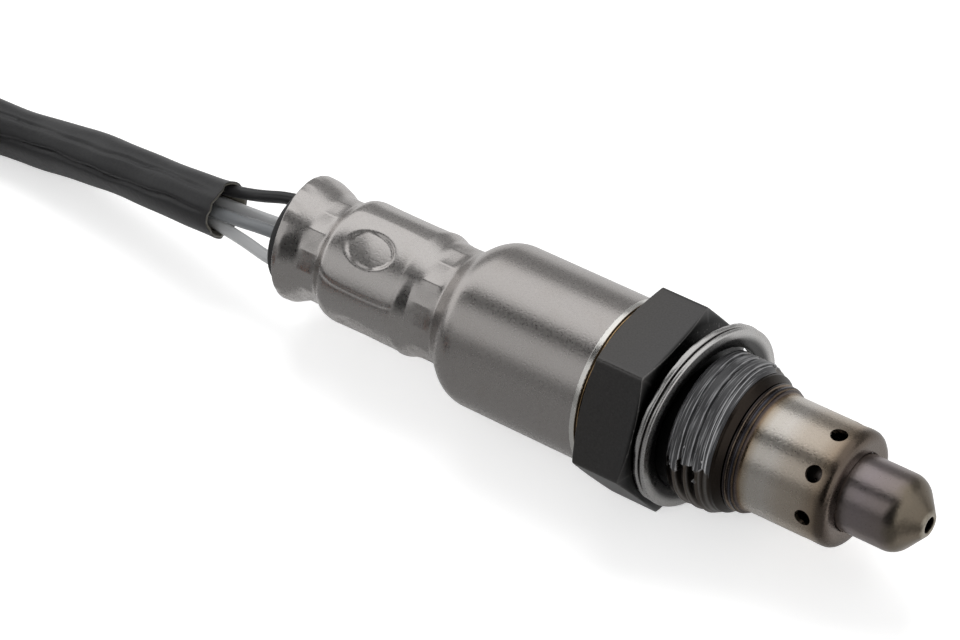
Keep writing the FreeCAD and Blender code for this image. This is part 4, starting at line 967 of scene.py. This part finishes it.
# Rear end, front end, radius and depth of each crimp: the two necks, and the flange that follows the rear one
CRIMPS = (
    (-37.4, -34.7, NECK_RADIUS, 0.13), (-54.2, -51.8, REAR_NECK_RADIUS, 0.12), (-59.0, -55.8, FLANGE_RADIUS, 0.03),
)
CRIMP_COUNT, CRIMP_ANGLE = 16, math.radians(37.2)
CRIMP_BEYOND, CRIMP_WITHIN = 0.3, 0.7


def crimp(along, angle, rear, front, radius, depth):
    """How much a crimp's jaws press in: a row of flats, each a little different from the next."""
    behind = smooth_step(along, rear - CRIMP_BEYOND, rear + CRIMP_WITHIN)
    ahead = smooth_step(along, front + CRIMP_BEYOND, front - CRIMP_WITHIN)
    flat = (radius - depth) / np.cos(from_nearest(angle, CRIMP_ANGLE, CRIMP_COUNT))
    pressed = np.maximum(radius - flat, 0.0) * (1.0 + 0.5 * np.sin(3 * angle + radius))
    return behind * ahead * (pressed + 0.5 * depth * (0.5 + 0.5 * np.sin(5 * angle + 2 * radius)))


print("crimps:", len(CRIMPS), "rows of", CRIMP_COUNT)

# %% Pillows and dimples
BULGE_MIDDLE, BULGE_RADIUS = -45.2, 7.77
PRESS_COUNT = 4
PILLOW_ANGLE, PILLOW_WIDTH = math.radians(27.0), math.radians(37.2)
PILLOW_REAR, PILLOW_FRONT = 6.5, 9.0
# Where the pillows begin and where they have their full depth, at the bulge's rear and at its front
PILLOW_FADES = ((-51.2, -49.8), (-38.9, -40.2))
PILLOW_DEPTH = 0.3
CREASE_ANGLE = math.radians(64.0)
CREASE_DEPTH, CREASE_WIDTH = 0.09, 0.26
DIMPLE_ANGLE = math.radians(22.5)
DIMPLE_LENGTH, DIMPLE_WIDTH = 3.2, 2.35
DIMPLE_GROOVE, DIMPLE_GROOVE_WIDTH = 0.09, 0.06
# The hollow's two halves: the direction in which each falls, in degrees from the axis, and how steeply
DIMPLE_FALLS = ((-32.0, 0.15), (165.0, 0.05))
DIMPLE_MIDDLE, DIMPLE_SOFTNESS = 0.4, 0.06
DIMPLE_FLATNESS = 0.4


def pillow(along, angle):
    """How much the bulge's jaws press in: flatter pillows with a crease along the lower side of each."""
    away = along - BULGE_MIDDLE
    half_length = np.where(away < 0, PILLOW_REAR, PILLOW_FRONT)
    width = PILLOW_WIDTH * np.sqrt(np.maximum(1.0 - (np.abs(away) / half_length) ** 4, 0.0))
    turned = from_nearest(angle, PILLOW_ANGLE, PRESS_COUNT)
    off = np.abs(turned)
    bulge = smooth_step(along, *PILLOW_FADES[0]) * smooth_step(along, *PILLOW_FADES[1])
    facing = smooth_step(np.cos(angle - CREASE_ANGLE), 0.0, 0.6)
    lower_side = smooth_step(turned, -0.3, 0.3) * (0.2 + 0.8 * facing)
    crease = CREASE_DEPTH * lower_side * ridge((off - width) * BULGE_RADIUS, CREASE_WIDTH)
    middle = PILLOW_DEPTH * np.maximum(1.0 - (off / PILLOW_WIDTH) ** 2 - (away / half_length) ** 4, 0.0)
    return bulge * (crease + middle)


def dimple(along, angle):
    """An oval dimple: a narrow groove round a shallow hollow of two tilted halves."""
    across = from_nearest(angle, DIMPLE_ANGLE, PRESS_COUNT) * BULGE_RADIUS
    away = along - BULGE_MIDDLE
    reach = np.sqrt((away / DIMPLE_LENGTH) ** 2 + (across / DIMPLE_WIDTH) ** 2)
    groove = DIMPLE_GROOVE * ridge(reach - 1.0, DIMPLE_GROOVE_WIDTH)
    falls = [
        ((away + DIMPLE_MIDDLE) * math.cos(math.radians(turn)) + across * math.sin(math.radians(turn))) * slope
        for turn, slope in DIMPLE_FALLS
    ]
    fall = DIMPLE_SOFTNESS * np.log(sum(np.exp(value / DIMPLE_SOFTNESS) for value in falls))
    chord = DIMPLE_FLATNESS * (DIMPLE_WIDTH**2 - across**2) / (2 * BULGE_RADIUS)
    return groove + (chord + fall) * smooth_step(reach, 1.0, 0.9)


def sleeve_radius(along, radius, angle):
    """The sleeve's radius after all its presses."""
    pressed = sum(crimp(along, angle, *jaws) for jaws in CRIMPS)
    return radius - pressed - pillow(along, angle) - dimple(along, angle)


print("pillows and dimples:", PRESS_COUNT)

# %% Sleeve
SLEEVE_RADIUS = 10.03
SHEET = 0.6
SLEEVE_COLUMNS = 360
SLEEVE_OUTSIDE = [
    (-11.7, SLEEVE_RADIUS, 0.15, 1.2),
    (-31.0, SLEEVE_RADIUS, 4.6, 0.4),
    (-34.2, NECK_RADIUS, 1.2, 0.25),
    (-38.0, NECK_RADIUS, 0.7, 0.25),
    (-39.5, BULGE_RADIUS, 1.3, 0.2),
    (-50.0, BULGE_RADIUS, 2.2, 0.2),
    (-51.6, REAR_NECK_RADIUS, 1.2, 0.25),
    (-54.4, REAR_NECK_RADIUS, 1.2, 0.25),
    (-56.4, FLANGE_RADIUS, 1.5, 0.2),
    (-57.1, FLANGE_RADIUS, 0.14, 0.2),
]
sleeve_inside = [(along, radius - SHEET, rounding / 2, 1.5) for along, radius, rounding, _ in SLEEVE_OUTSIDE[::-1]]
sleeve_section = outline(SLEEVE_OUTSIDE + sleeve_inside)
sleeve_rings = turned_rings(sleeve_section, SLEEVE_COLUMNS, sleeve_radius)

# The flange's rim is not square to the axis: it reaches further back on its upper, far side.
RIM_REACH, RIM_ANGLE = 1.15, math.radians(-42.0)
sleeve_angles = np.linspace(0.0, 2.0 * np.pi, SLEEVE_COLUMNS, endpoint=False)
rim_side = (0.5 + 0.5 * np.cos(sleeve_angles - RIM_ANGLE)) ** 3
rim_share = smooth_step(sleeve_section[:, 0], -55.0, -57.1)[:, None] * rim_side
sleeve_rings[..., 0] -= RIM_REACH * MM * rim_share
sleeve = skin("sleeve", sleeve_rings, "sleeve_steel", "sleeve_steel", closed=True, sharp=60)
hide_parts("protective_sleeve")
print("sleeve:", triangles(sleeve), "triangles")

# %% [markdown]
# ## The weld bead
# A laser weld closes the sleeve on the shell. The bead is a row of small overlapping ripples, so one flat ripple
# is repeated round a circle by Geometry Nodes, each turned to face outwards and varied a little by a fixed seed.

# %% Weld bead
def places_round_axis(tree, count, radius, along):
    """Points round the sensor's axis, and the rotation that turns each one's Z axis outwards."""
    circle = add(tree, "GeometryNodeMeshCircle", {"Vertices": count, "Radius": radius}).outputs[0]
    inputs = {"Geometry": circle, "Translation": combined(tree, along), "Rotation": (0.0, math.pi / 2, 0.0)}
    placed = add(tree, "GeometryNodeTransform", inputs).outputs[0]
    outwards = from_axis(tree, add(tree, "GeometryNodeInputPosition").outputs[0])
    facing = add(tree, "FunctionNodeAlignRotationToVector", {"Vector": outwards}, axis="Z").outputs[0]
    return placed, facing


def bead_tree():
    """Ripples round the axis, each a flattened ball."""
    tree, given = geometry_tree("weld_bead", {
        "Radius": 0.01, "Along": 0.0, "Ripple": 0.0005, "Spread": 0.1, "Height": 0.3,
    }, {"Count": 100, "Seed": 3})
    points, facing = places_round_axis(tree, given["Count"], given["Radius"], given["Along"])
    inputs = {"Segments": 12, "Rings": 8, "Radius": given["Ripple"]}
    ball = add(tree, "GeometryNodeMeshUVSphere", inputs).outputs[0]
    smallest, largest = (calc(tree, operation, 1.0, given["Spread"]) for operation in ("SUBTRACT", "ADD"))
    inputs = {2: smallest, 3: largest, "Seed": given["Seed"]}
    chance = add(tree, "FunctionNodeRandomValue", inputs, data_type="FLOAT").outputs[1]
    size = combined(tree, chance, chance, product(tree, chance, given["Height"]))
    inputs = {"Points": points, "Instance": ball, "Rotation": facing, "Scale": size}
    ripples = add(tree, "GeometryNodeInstanceOnPoints", inputs).outputs[0]
    both = tree.nodes.new("GeometryNodeJoinGeometry")
    tree.links.new(ripples, both.inputs[0])
    tree.links.new(given["Geometry"], both.inputs[0])
    end_tree(tree, given, both.outputs[0])
    return tree


bead_section = outline([
    (-12.6, SLEEVE_RADIUS - 0.3, 0.0, 0.5),
    (-12.6, SLEEVE_RADIUS + 0.03, 0.04, 0.3),
    (-12.5, SLEEVE_RADIUS - 0.04, 0.04, 0.1),
    (-12.42, SLEEVE_RADIUS + 0.17, 0.1, 0.1),
    (-11.8, SLEEVE_RADIUS + 0.17, 0.15, 0.1),
    (-11.64, SLEEVE_RADIUS - 0.06, 0.06, 0.1),
    (-11.5, SLEEVE_RADIUS - 0.02, 0.08, 0.1),
    (-11.5, SLEEVE_RADIUS - 0.3, 0.0, 0.5),
])
BEAD_COLUMNS = 180
BEAD_MIDDLE, BEAD_TOP = -12.1, SLEEVE_RADIUS + 0.15
RIPPLES, RIPPLE_RADIUS, RIPPLE_HEIGHT = 110, 0.34, 0.05
bead = skin("weld_bead", turned_rings(bead_section, BEAD_COLUMNS), "bead_steel", "sleeve_steel", closed=True)
run_tree(
    bead, bead_tree(), "bead_steel", Radius=BEAD_TOP * MM, Along=BEAD_MIDDLE * MM, Ripple=RIPPLE_RADIUS * MM,
    Height=RIPPLE_HEIGHT, Count=RIPPLES,
)
print("weld bead:", triangles(bead), "triangles")

# %% [markdown]
# ## The guard tubes
# Two drawn tubes guard the ceramic tip. The outer one is turned from its section, with a rounded shoulder and the
# ridges of its weld band. Its gas holes repeat round it, so Geometry Nodes place a drill at each and cut them all.

# %% Drilling tree
def drill_tree():
    """Cuts round holes through a piece, evenly spaced round the axis."""
    tree, given = geometry_tree("drill", {
        "Radius": 0.001, "Reach": 0.01, "Along": 0.0, "First": 0.0, "Length": 0.004,
    }, {"Count": 8})
    points, facing = places_round_axis(tree, given["Count"], given["Reach"], given["Along"])
    inputs = {"Vertices": 40, "Radius": given["Radius"], "Depth": given["Length"]}
    drill = add(tree, "GeometryNodeMeshCylinder", inputs).outputs[0]
    inputs = {"Points": points, "Instance": drill, "Rotation": facing}
    drills = add(tree, "GeometryNodeInstanceOnPoints", inputs).outputs[0]
    real = add(tree, "GeometryNodeRealizeInstances", {0: drills}).outputs[0]
    inputs = {"Geometry": real, "Rotation": combined(tree, given["First"])}
    turned = add(tree, "GeometryNodeTransform", inputs).outputs[0]
    inputs = {"Mesh 1": given["Geometry"]}
    cut = add(tree, "GeometryNodeMeshBoolean", inputs, operation="DIFFERENCE", solver="EXACT")
    tree.links.new(turned, cut.inputs["Mesh 2"])
    end_tree(tree, given, cut.outputs[0])
    return tree


print("drilling tree ready")

# %% Outer guard tube
OUTER_RADIUS, OUTER_WALL = 6.94, 0.5
OUTER_FRONT = 18.95
OUTER_COLUMNS = 240
INNER_RADIUS, INNER_WALL = 4.56, 0.45
FRONT_BORE = INNER_RADIUS + 0.03
GAS_HOLES, GAS_HOLE_RADIUS = 8, 1.0
GAS_HOLE_PLACE, GAS_HOLE_ANGLE = 16.27, math.radians(37.6)
outer_section = outline([
    (6.05, OUTER_RADIUS - OUTER_WALL, 0.0, 0.5),
    (6.05, 7.3, 0.05, 0.2),
    (6.25, 7.6, 0.14, 0.1),
    (6.55, 7.6, 0.14, 0.1),
    (6.7, 7.28, 0.06, 0.1),
    (6.85, 7.28, 0.06, 0.1),
    (7.0, 7.52, 0.1, 0.1),
    (7.25, 7.52, 0.1, 0.1),
    (7.38, 7.26, 0.06, 0.1),
    (7.5, 7.32, 0.06, 0.1),
    (7.62, 7.32, 0.06, 0.1),
    (7.75, 7.08, 0.06, 0.1),
    (8.0, OUTER_RADIUS, 0.15, 0.8),
    (OUTER_FRONT, OUTER_RADIUS, 2.0, 0.4),
    (OUTER_FRONT, FRONT_BORE, 0.2, 0.3),
    (OUTER_FRONT - OUTER_WALL, FRONT_BORE, 0.0, 0.5),
    (OUTER_FRONT - OUTER_WALL, OUTER_RADIUS - OUTER_WALL, 1.5, 1.0),
])
outer_rings = turned_rings(outer_section, OUTER_COLUMNS)
outer_tube = skin("outer_tube", outer_rings, "guard_steel", "guard_steel", closed=True)
run_tree(
    outer_tube, drill_tree(), "guard_steel", Radius=GAS_HOLE_RADIUS * MM, Reach=OUTER_RADIUS * MM,
    Along=GAS_HOLE_PLACE * MM, First=GAS_HOLE_ANGLE, Length=3.0 * MM, Count=GAS_HOLES,
)
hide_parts("outer_guard_tube")
print("outer tube:", triangles(outer_tube), "triangles")

# %% Inner guard tube
NOSE_CONE, NOSE_FRONT = 25.5, 28.1
NOSE_FACE, NOSE_HOLE = 1.38, 0.95
INNER_COLUMNS = 180
inner_section = outline([
    (6.1, INNER_RADIUS - INNER_WALL, 0.0, 0.5),
    (6.1, INNER_RADIUS, 0.0, 1.0),
    (NOSE_CONE, INNER_RADIUS, 2.6, 0.3),
    (NOSE_FRONT, NOSE_FACE, 0.3, 0.1),
    (NOSE_FRONT, NOSE_HOLE, 0.12, 0.2),
    (NOSE_FRONT - INNER_WALL, NOSE_HOLE, 0.05, 0.3),
    (NOSE_FRONT - INNER_WALL, NOSE_FACE - 0.1, 0.2, 0.4),
    (NOSE_CONE - 0.2, INNER_RADIUS - INNER_WALL, 1.6, 1.0),
])
inner_rings = turned_rings(inner_section, INNER_COLUMNS)
inner_tube = skin("inner_tube", inner_rings, "nose_steel", "guard_steel", closed=True)
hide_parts("inner_guard_tube")
print("inner tube:", triangles(inner_tube), "triangles")

# %% [markdown]
# ## The grommet
# The rubber plug shows as a black edge behind the sleeve's flange. Its section is turned, and the leads fill its
# four holes, so the holes need no cutting.

# %% Grommet
GROMMET_RADIUS, GROMMET_NECK, GROMMET_HEAD = 6.3, 5.5, 6.6
GROMMET_REAR, GROMMET_FRONT = -58.85, -47.4
GROMMET_COLUMNS = 120
grommet_section = outline([
    (GROMMET_FRONT, 0.0, 0.0, 1.0),
    (GROMMET_FRONT, GROMMET_HEAD, 0.3, 1.0),
    (-50.0, GROMMET_HEAD, 0.3, 1.0),
    (-51.6, GROMMET_NECK, 0.3, 1.0),
    (-54.6, GROMMET_NECK, 0.3, 0.5),
    (-56.0, GROMMET_RADIUS, 0.3, 0.3),
    (GROMMET_REAR, GROMMET_RADIUS, 0.3, 0.3),
    (GROMMET_REAR, 5.3, 0.3, 0.3),
    (GROMMET_REAR + 0.25, 4.9, 0.3, 0.3),
    (GROMMET_REAR + 0.25, 0.0, 0.0, 1.0),
])
grommet_rings = turned_rings(grommet_section, GROMMET_COLUMNS)
grommet = skin("grommet_rubber", grommet_rings, "grommet_rubber", "grommet_rubber", closed=True)
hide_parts("grommet")
print("grommet:", triangles(grommet), "triangles")

# %% [markdown]
# ## The four leads
# Each lead is round and smooth, so a curve with a bevel is all that it needs. The leads leave the rubber grommet
# side by side and bend together into the mouth of the cable.

# %% Leads
LEAD_RADIUS = 0.75
LEAD_START, LEAD_TURN = -38.0, -57.5
LEAD_CIRCLE, LEAD_WIDE_CIRCLE = 3.1, 5.0
# How far inside the cable's mouth the leads have come together, and where they end
LEAD_GATHER, LEAD_END = 0.4, 10.77
# For each lead its angle in the grommet, then its angle and distance from the middle of the cable's mouth
LEADS = {
    "lead_black": (45.0, 24.0, 2.1),
    "lead_grey": (135.0, -142.0, 0.6),
    "lead_white_lower": (225.0, -98.0, 2.0),
    "lead_white_rear": (315.0, -27.0, 1.8),
}

mouth_along = (ROUTE_START[1] - MOUTH).normalized()


def on_circle(degrees):
    """The direction across the sensor's axis at an angle from +Y towards +Z."""
    return Vector((0.0, math.cos(math.radians(degrees)), math.sin(math.radians(degrees))))


for name, (degrees, mouth_degrees, inside) in LEADS.items():
    outwards, across = on_circle(degrees), on_circle(mouth_degrees)
    across = (across - mouth_along * across.dot(mouth_along)).normalized() * inside
    route = [point * MM for point in (
        Vector((LEAD_START, 0, 0)) + outwards * LEAD_CIRCLE,
        Vector((LEAD_TURN, 0, 0)) + outwards * LEAD_WIDE_CIRCLE,
        MOUTH + mouth_along * LEAD_GATHER + across,
        MOUTH + mouth_along * LEAD_END + across,
    )]
    lead = nurbs_curve(name + "_insulation", route, LEAD_RADIUS * MM)
    slot_name = "lead_white" if "white" in name else name
    lead.data.materials.append(FINISH[slot_name])
    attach(lead, BODY)
    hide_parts(name)
    lead_line = spline_line(route)

# %% [markdown]
# ## The cable
# The cable is a soft black sleeve round the leads. Its open end is cut by hand, so the edge is a little ragged and
# flared, and it sinks in between the leads in long wavy dents. Rings along the line make the outside, and the same
# rings turned inwards make the inside of the open end, which is paler.

# %% Cable shape
FLARE, FLARE_SWING, FLARE_ANGLE, FLARE_LENGTH = 0.3, 0.5, math.radians(26.0), 1.9
MOUTH_SLANT, SLANT_ANGLE, SLANT_LENGTH = 0.75, math.radians(54.0), 3.0
# Where the sleeve sinks in between its leads: degrees round it, depth and width in mm
GROOVES = ((77.0, 0.27, 0.22), (29.0, 0.42, 0.25), (-62.0, 0.3, 0.4), (160.0, 0.25, 0.4))
GROOVE_START = 2.5
RAGGED_LENGTH = 1.2


def cable_radius_at(place, angle):
    """The sleeve's outer radius in mm, by the distance from its mouth in mm and the angle round it."""
    flare = FLARE - FLARE_SWING * np.cos(angle - FLARE_ANGLE)
    radius = CABLE_RADIUS + flare * np.exp(-place / FLARE_LENGTH)
    radius = radius + 0.07 * np.sin(place * 0.31 + 1.2 * np.sin(angle)) + 0.03 * np.sin(place * 0.7 + 2 * angle)
    for number, (degrees, depth, width) in enumerate(GROOVES):
        wander = 0.025 * np.sin(place * 0.9 + 2.1 * number) + 0.09 * np.sin(place * 0.22 + number)
        away = np.angle(np.exp(1j * (angle - math.radians(degrees) - wander))) * CABLE_RADIUS
        strength = (0.85 + 0.15 * np.sin(place * 0.6 + 3.0 * number)) * (1.0 - np.exp(-place / GROOVE_START))
        radius = radius - depth * strength * ridge(away, width)
    return radius


def mouth_shift(place, angle):
    """How far a point moves into the cable, in mm: its cut end is ragged, and shorter on its lower, far side."""
    ragged = 0.22 * np.sin(3 * angle + 0.5) + 0.12 * np.sin(7 * angle) + 0.06 * np.sin(13 * angle + 1.0)
    slant = MOUTH_SLANT * (0.3 + np.cos(angle - SLANT_ANGLE))
    return np.exp(-place / RAGGED_LENGTH) * ragged - slant * np.exp(-place / SLANT_LENGTH)


def directions(line):
    """Three directions at each point of a line: along it, level across it, and over it."""
    along = np.gradient(line, axis=0)
    along /= np.linalg.norm(along, axis=1)[:, None]
    side = np.cross([0.0, 0.0, 1.0], along)
    side /= np.linalg.norm(side, axis=1)[:, None]
    return along, side, np.cross(along, side)


def at_places(values, places):
    """Values that are known along the cable's line, at distances in mm from its mouth."""
    lengths = lengths_along(cable_line)
    return np.stack([np.interp(places * MM, lengths, values[:, axis]) for axis in range(3)], 1)


print("cable shape ready, with", len(GROOVES), "dents")

# %% Cable
CABLE_COLUMNS = 96
CABLE_WALL = 0.35
MOUTH_DEPTH = 10.8
# The dents are fine near the mouth, where the camera sees them, and its rings lie closer together there.
NEAR_LENGTH, NEAR_STEP, FAR_STEP, INNER_STEP = 60.0, 0.35, 1.5, 0.6

near_places = np.arange(0.0, NEAR_LENGTH, NEAR_STEP)
far_places = np.linspace(NEAR_LENGTH, cable_length / MM, int(cable_length / MM / FAR_STEP))
outer_places = np.concatenate([near_places, far_places])
inner_places = np.arange(MOUTH_DEPTH, -0.01, -INNER_STEP)
places = np.concatenate([outer_places[-1:], outer_places[::-1], inner_places[::-1], [MOUTH_DEPTH]])
columns = np.linspace(0.0, 2.0 * np.pi, CABLE_COLUMNS, endpoint=False)
place, angle = np.meshgrid(places, columns, indexing="ij")
inside = np.zeros_like(place)
inside[len(outer_places) + 1:] = 1.0
cable_radius = cable_radius_at(place, angle) - CABLE_WALL * inside
cable_radius[[0, -1]] = 0.0
forward, side, over = (at_places(values, places)[:, None] for values in directions(cable_line))
outwards = side * np.cos(angle)[..., None] + over * np.sin(angle)[..., None]
rings = at_places(cable_line, places)[:, None] + outwards * cable_radius[..., None] * MM
rings += forward * mouth_shift(place, angle)[..., None] * MM
cable = skin("cable", rings, "cable_black", "cable_black", sharp=70.0, inside=inside)
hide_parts("cable_sleeve", "cable_coil")
print("cable triangles:", triangles(cable))

# %% [markdown]
# ## Floor, light and cards
# The floor is plain and pale. Two large soft lamps hang above it, one behind the sensor and one in front.
# Polished metal shows its surroundings, so a photographer sets cards round it: grey ones to give the steel its
# darker bands, with a gap of white between. The cards are seen in reflections only, and so is the dark place where
# the photographer stands.

# %% Floor and world
def plain(name, colour, strength=0.0):
    """A floor's matt paint, or a card that only gives off its own grey."""
    material = bpy.data.materials.new(name)
    material.use_nodes = True
    shader = material.node_tree.nodes["Principled BSDF"]
    shader.inputs["Base Color"].default_value = (*colour, 1.0)
    shader.inputs["Roughness"].default_value = 1.0
    shader.inputs["Specular IOR Level"].default_value = 0.0
    if strength:
        shader.inputs["Base Color"].default_value = (0.0, 0.0, 0.0, 1.0)
        shader.inputs["Emission Color"].default_value = (*colour, 1.0)
        shader.inputs["Emission Strength"].default_value = strength
    return material


def sheet_of(name, centre, across, along, material):
    """A flat rectangle from its middle and its two half sides."""
    corners = [
        Vector(centre) + first * Vector(across) + second * Vector(along)
        for first, second in ((-1, -1), (1, -1), (1, 1), (-1, 1))
    ]
    mesh = bpy.data.meshes.new(name)
    mesh.from_pydata([corner[:] for corner in corners], [], [(0, 1, 2, 3)])
    mesh.materials.append(material)
    piece = bpy.data.objects.new(name, mesh)
    bpy.context.scene.collection.objects.link(piece)
    return piece


# How much light the floor seems to give off to the camera, and how strongly the world lights the object
FLOOR_LIFT, AMBIENT = 0.46, 0.45
floor_paint = plain("floor_paint", (0.86, 0.86, 0.86))
tree = floor_paint.node_tree
shader = tree.nodes["Principled BSDF"]
shader.inputs["Emission Color"].default_value = (1.0, 1.0, 1.0, 1.0)
path = add(tree, "ShaderNodeLightPath").outputs
seen = calc(tree, "MAXIMUM", path["Is Camera Ray"], path["Is Transmission Ray"])
tree.links.new(calc(tree, "MULTIPLY", seen, FLOOR_LIFT), shader.inputs["Emission Strength"])
sheet_of("floor", (0, 0, FLOOR * MM), (3, 0, 0), (0, 3, 0), floor_paint)

world = bpy.data.worlds.new("studio")
bpy.context.scene.world = world
world.use_nodes = True
tree = world.node_tree
background = tree.nodes["Background"]
path = add(tree, "ShaderNodeLightPath").outputs
seen = calc(tree, "MAXIMUM", path["Is Camera Ray"], path["Is Glossy Ray"])
seen = calc(tree, "MAXIMUM", seen, path["Is Transmission Ray"])
tree.links.new(remap(tree, seen, 0.0, 1.0, AMBIENT, 1.0, kind="LINEAR"), background.inputs["Strength"])
background.inputs["Color"].default_value = (1.0, 1.0, 1.0, 1.0)
print("floor and world ready")

# %% Lamps
def lamp(name, place, size, watts):
    """A square soft lamp that faces the sensor."""
    light = bpy.data.lights.new(name, "AREA")
    light.shape = "SQUARE"
    light.size = size
    light.energy = watts
    item = bpy.data.objects.new(name, light)
    item.location = place
    item.rotation_mode = "QUATERNION"
    item.rotation_quaternion = Vector(place).to_track_quat("Z", "Y")
    item.visible_camera = False
    item.visible_glossy = False
    bpy.context.scene.collection.objects.link(item)


LAMP_SIZE = 0.7
lamp("lamp_behind", (-0.35, 0.55, 0.95), LAMP_SIZE, 7.0)
lamp("lamp_front", (0.35, -0.75, 0.75), LAMP_SIZE, 4.0)
print("lamps ready")

# %% Cards
CARD_DISTANCE, CARD_MIDDLE, CARD_HALF_LENGTH = 0.8, -0.45, 1.2


def card(name, centre, across, along, grey):
    """A card that shows in reflections only, from its middle and its two half sides."""
    item = sheet_of(name, centre, across, along, plain(name + "_paint", (grey, grey, grey), 1.0))
    item.visible_camera = False
    item.visible_diffuse = False
    item.visible_shadow = False
    item.visible_transmission = False


# The angles from straight up between which each card stands along the sensor, positive towards +Y, and its grey
CARDS = {
    "card_back": (52.0, 96.0, 0.26),
    "card_strip": (-27.0, -5.0, 0.02),
    "card_front": (-66.0, -27.0, 0.61),
    "card_low": (-99.0, -66.0, 0.21),
}
for name, (low, high, grey) in CARDS.items():
    start, end = (Vector((0.0, math.sin(turn), math.cos(turn))) for turn in (math.radians(low), math.radians(high)))
    centre = (start + end) * CARD_DISTANCE / 2 + Vector((CARD_MIDDLE, 0, 0))
    card(name, centre, (CARD_HALF_LENGTH, 0, 0), (end - start) * CARD_DISTANCE / 2, grey)

# The photographer's own place is dark, and shows where the steel faces it.
DARK_PLACE, DARK_HALF_WIDTH, DARK_HALF_HEIGHT = Vector((0.224, -0.582, 0.318)), 0.41, 0.40
dark_across = DARK_PLACE.cross(Vector((0.0, 0.0, 1.0))).normalized()
dark_up = dark_across.cross(DARK_PLACE).normalized()
card("dark_place", DARK_PLACE, dark_across * DARK_HALF_WIDTH, dark_up * DARK_HALF_HEIGHT, 0.012)

# Two cards lie just above the floor beside the sensor and show in reflections only: they paint the floor's shade
# into the steel's lower side, grey in front and paler behind.
FLOOR_CARD_NEAR, FLOOR_CARD_FAR, FLOOR_CARD_HALF_LENGTH = 9.5 * MM, 0.5, 0.6
for towards, grey in ((-1.0, 0.27), (1.0, 0.75)):
    centre = (0.0, towards * (FLOOR_CARD_NEAR + FLOOR_CARD_FAR) / 2, (FLOOR + 0.1) * MM)
    half = (0.0, (FLOOR_CARD_FAR - FLOOR_CARD_NEAR) / 2, 0.0)
    card("floor_shade_card", centre, (FLOOR_CARD_HALF_LENGTH, 0, 0), half, grey)
print("cards:", len(CARDS) + 3)
